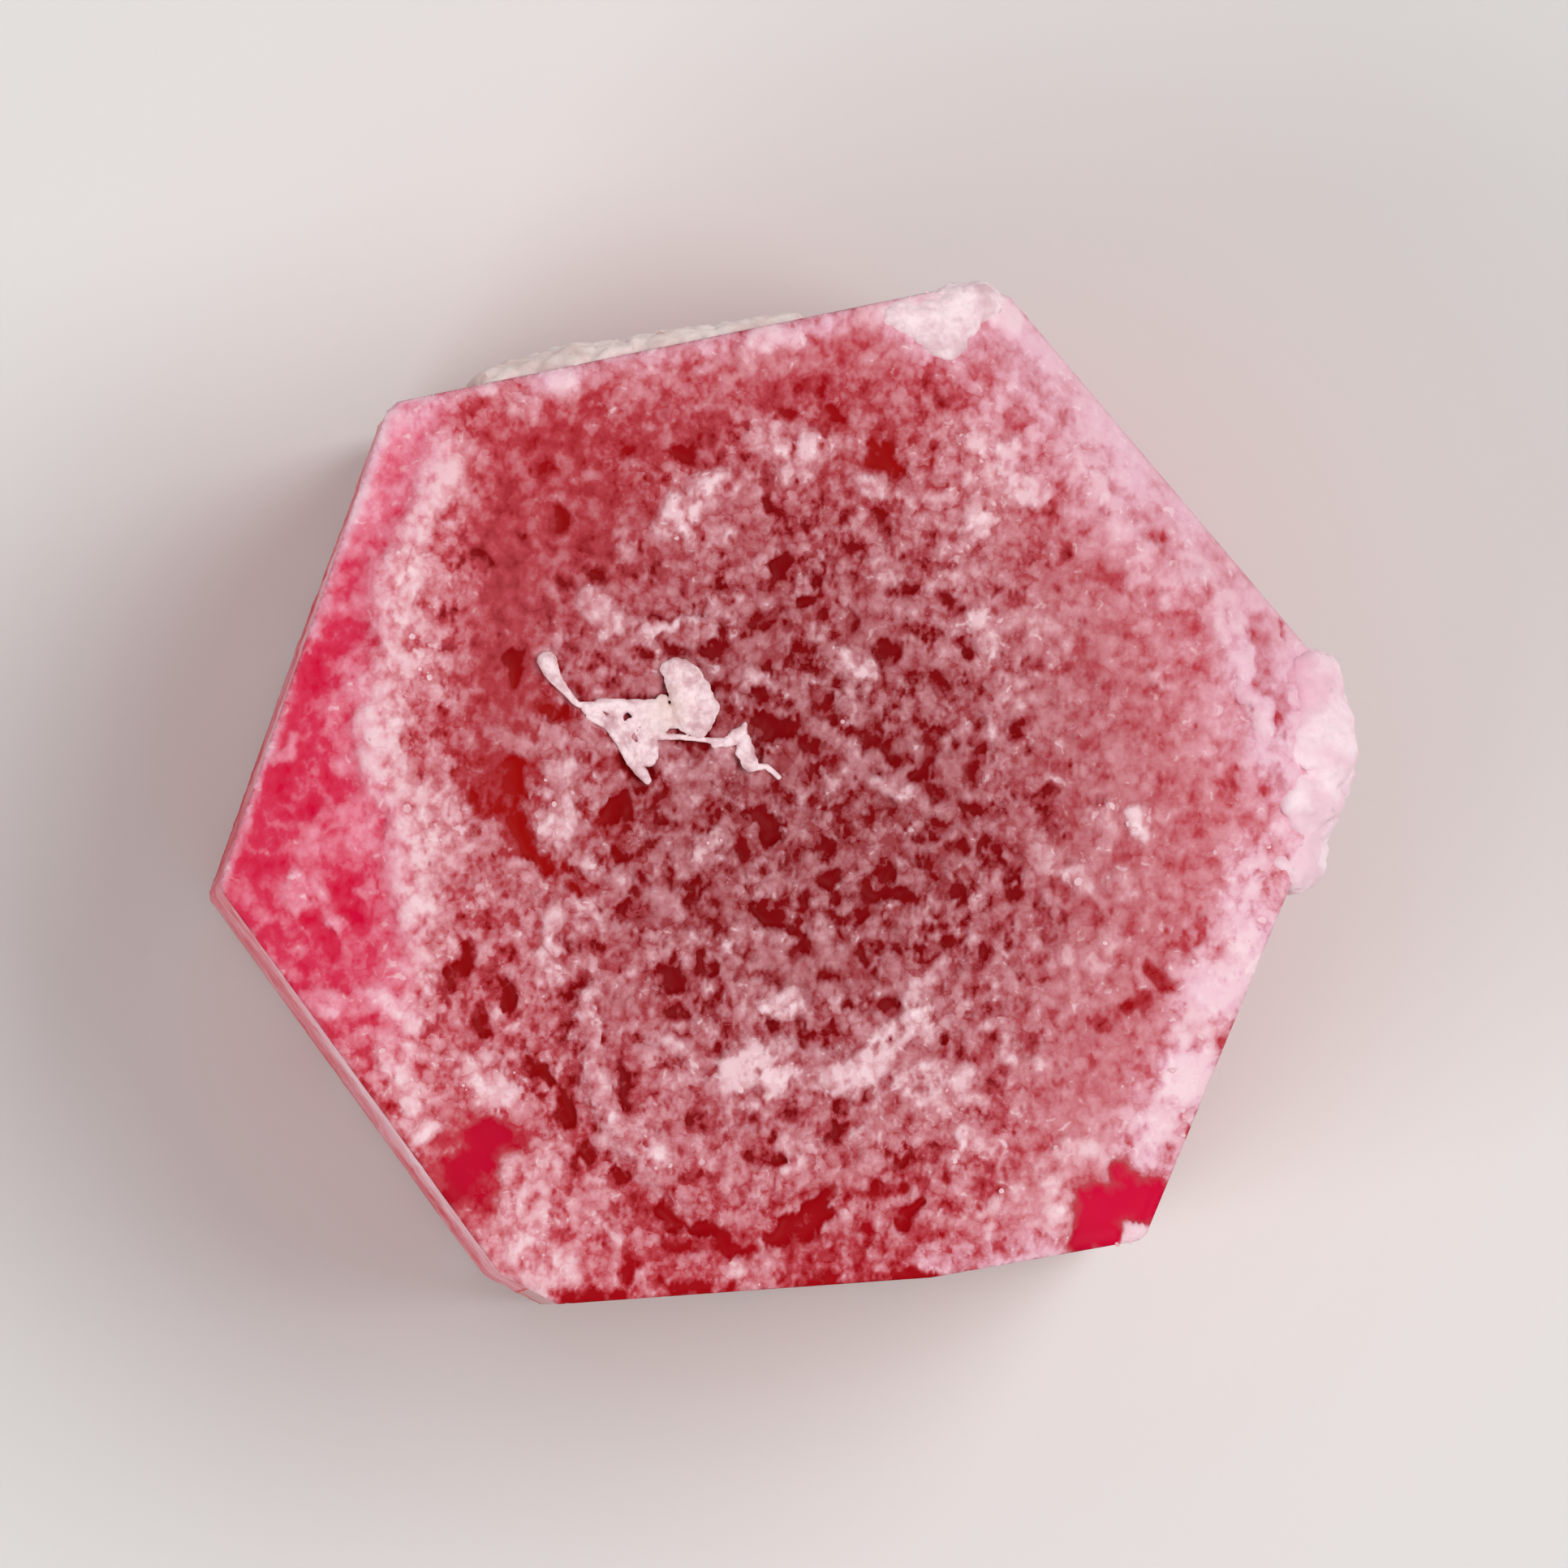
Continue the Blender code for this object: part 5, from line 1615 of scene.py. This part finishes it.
def studio_sky(studio):
    """A white sky that is brightest at the horizon."""
    world = bpy.data.worlds.new("studio_sky")
    world.use_nodes = True
    tree = Tree(world.node_tree)
    ray = tree.add("ShaderNodeTexCoord").outputs["Generated"]
    rise = tree.add("ShaderNodeSeparateXYZ", {0: ray}).outputs["Z"]
    strength = tree.ease(rise, *SKY_BAND, studio.sky, studio.sky * studio.zenith)
    sky = world.node_tree.nodes["Background"]
    sky.inputs["Color"].default_value = (1.0, 1.0, 1.0, 1.0)
    world.node_tree.links.new(strength, sky.inputs["Strength"])
    return world


def studio_camera(studio):
    """A camera far above the end face, leaning a little away from the c-axis."""
    back = direction(math.degrees(studio.side), 90.0 - math.degrees(studio.tilt))
    across = Vector((0.0, 1.0, 0.0)).cross(back).normalized()
    up = back.cross(across)
    lens = bpy.data.cameras.new("camera")
    lens.sensor_width = SENSOR_WIDTH
    lens.lens = SENSOR_WIDTH * studio.distance / (VIEW_WIDTH * MM)
    lens.clip_start, lens.clip_end = (reach * MM for reach in VIEW_CLIP)
    camera = bpy.data.objects.new("camera", lens)
    turned = Matrix((across, up, back)).transposed().to_4x4()
    camera.matrix_world = Matrix.Translation(Vector(VIEW_CENTRE) * MM + back * studio.distance) @ turned
    bpy.context.scene.collection.objects.link(camera)
    return camera


# ---------------------------------------------------------------------------------------------------------
# The add-on.


def settings_of(context):
    return context.scene.red_beryl, context.scene.red_beryl_studio


class RED_BERYL_OT_crystal(bpy.types.Operator):
    """Grow the frosted red beryl crystal"""

    bl_idname = "red_beryl.crystal"
    bl_label = "Grow Crystal"

    def execute(self, context):
        settings, _ = settings_of(context)
        mesh = crystal_mesh()
        paint_masks(mesh)
        values = {
            "Grain Size": settings.grain_size,
            "Grain Height": settings.grain_height,
            "Pit Size": settings.pit_size,
            "Pit Depth": settings.pit_depth,
            "Seed": float(settings.seed),
            "Material": beryl_material(settings),
        }
        blank = loose_object("crystal_blank", mesh)
        crystal = applied(blank, frost_relief(), values, "frosted_crystal")
        crystal.data.shade_smooth()
        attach(crystal, "root")
        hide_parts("crystal")
        return {"FINISHED"}


class RED_BERYL_OT_crumbs(bpy.types.Operator):
    """Strew the crumbs of matrix over the crystal"""

    bl_idname = "red_beryl.crumbs"
    bl_label = "Strew Crumbs"

    def execute(self, context):
        crystal = bpy.data.objects["frosted_crystal"]
        ground = loose_object("crumb_ground", crystal.data.copy())
        values = {"Material": chalky_material("matrix_crumbs")}
        crumbs = applied(ground, crumb_scatter(), values, "matrix_crumbs")
        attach(crumbs, "root")
        return {"FINISHED"}


class RED_BERYL_OT_crusts(bpy.types.Operator):
    """Grow the knob, the rind and the corner crust of matrix"""

    bl_idname = "red_beryl.crusts"
    bl_label = "Grow Crusts"

    def execute(self, context):
        tree = granular_mass()
        for node, lumps, slot, finish, voxel, bump in CRUSTS:
            points = granule_mesh(node + "_granules", *crust_granules(node, lumps))
            values = {
                "Voxel": voxel,
                "Grain Size": bump,
                "Grain Height": BUMP_HEIGHT * bump,
                "Material": chalky_material(finish),
            }
            crust = applied(loose_object(node + "_granules", points), tree, values, node + "_rough")
            crust.data.shade_smooth()
            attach(crust, "root")
            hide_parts(node)
        return {"FINISHED"}


class RED_BERYL_OT_residue(bpy.types.Operator):
    """Lay the strand of residue on the end face"""

    bl_idname = "red_beryl.residue"
    bl_label = "Lay Residue"

    def execute(self, context):
        points = granule_mesh("residue_granules", *residue_granules())
        bump_size, bump_height = RESIDUE_BUMP
        values = {
            "Voxel": RESIDUE_VOXEL,
            "Grain Size": bump_size,
            "Grain Height": bump_height,
            "Material": chalky_material("residue_skin"),
        }
        residue = applied(loose_object("residue_granules", points), granular_mass(), values, "residue_film")
        residue.data.shade_smooth()
        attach(residue, "root")
        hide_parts("residue_strand")
        return {"FINISHED"}


class RED_BERYL_OT_stage(bpy.types.Operator):
    """Lay the floor and set the lights and the camera"""

    bl_idname = "red_beryl.stage"
    bl_label = "Set Stage"

    def execute(self, context):
        _, studio = settings_of(context)
        floor = studio_floor(studio)
        studio_light("key", studio.key, KEY_LIGHT)
        studio_light("fill", studio.fill, FILL_LIGHT)
        context.scene.world = studio_sky(studio)
        context.scene.view_settings.view_transform = "Standard"
        context.scene.camera = studio_camera(studio)
        return {"FINISHED"}


class RED_BERYL_PT_panel(bpy.types.Panel):
    """The pieces of the crystal, in building order"""

    bl_idname = "RED_BERYL_PT_panel"
    bl_label = "Red Beryl"
    bl_space_type = "VIEW_3D"
    bl_region_type = "UI"
    bl_category = "Red Beryl"

    def draw(self, context):
        for settings in settings_of(context):
            column = self.layout.column()
            for name in settings.__annotations__:
                column.prop(settings, name)
        for operator in OPERATORS:
            self.layout.operator(operator.bl_idname)


OPERATORS = (
    RED_BERYL_OT_stage,
    RED_BERYL_OT_crystal,
    RED_BERYL_OT_crusts,
    RED_BERYL_OT_residue,
    RED_BERYL_OT_crumbs,
)
CLASSES = (BerylSettings, StudioSettings) + OPERATORS + (RED_BERYL_PT_panel,)


def register():
    for made in CLASSES:
        bpy.utils.register_class(made)
    bpy.types.Scene.red_beryl = PointerProperty(type=BerylSettings)
    bpy.types.Scene.red_beryl_studio = PointerProperty(type=StudioSettings)


def unregister():
    del bpy.types.Scene.red_beryl_studio
    del bpy.types.Scene.red_beryl
    for made in reversed(CLASSES):
        bpy.utils.unregister_class(made)


def main():
    register()
    bpy.ops.red_beryl.stage()
    bpy.ops.red_beryl.crystal()
    bpy.ops.red_beryl.crusts()
    bpy.ops.red_beryl.residue()
    bpy.ops.red_beryl.crumbs()


if __name__ == "__main__":
    main()
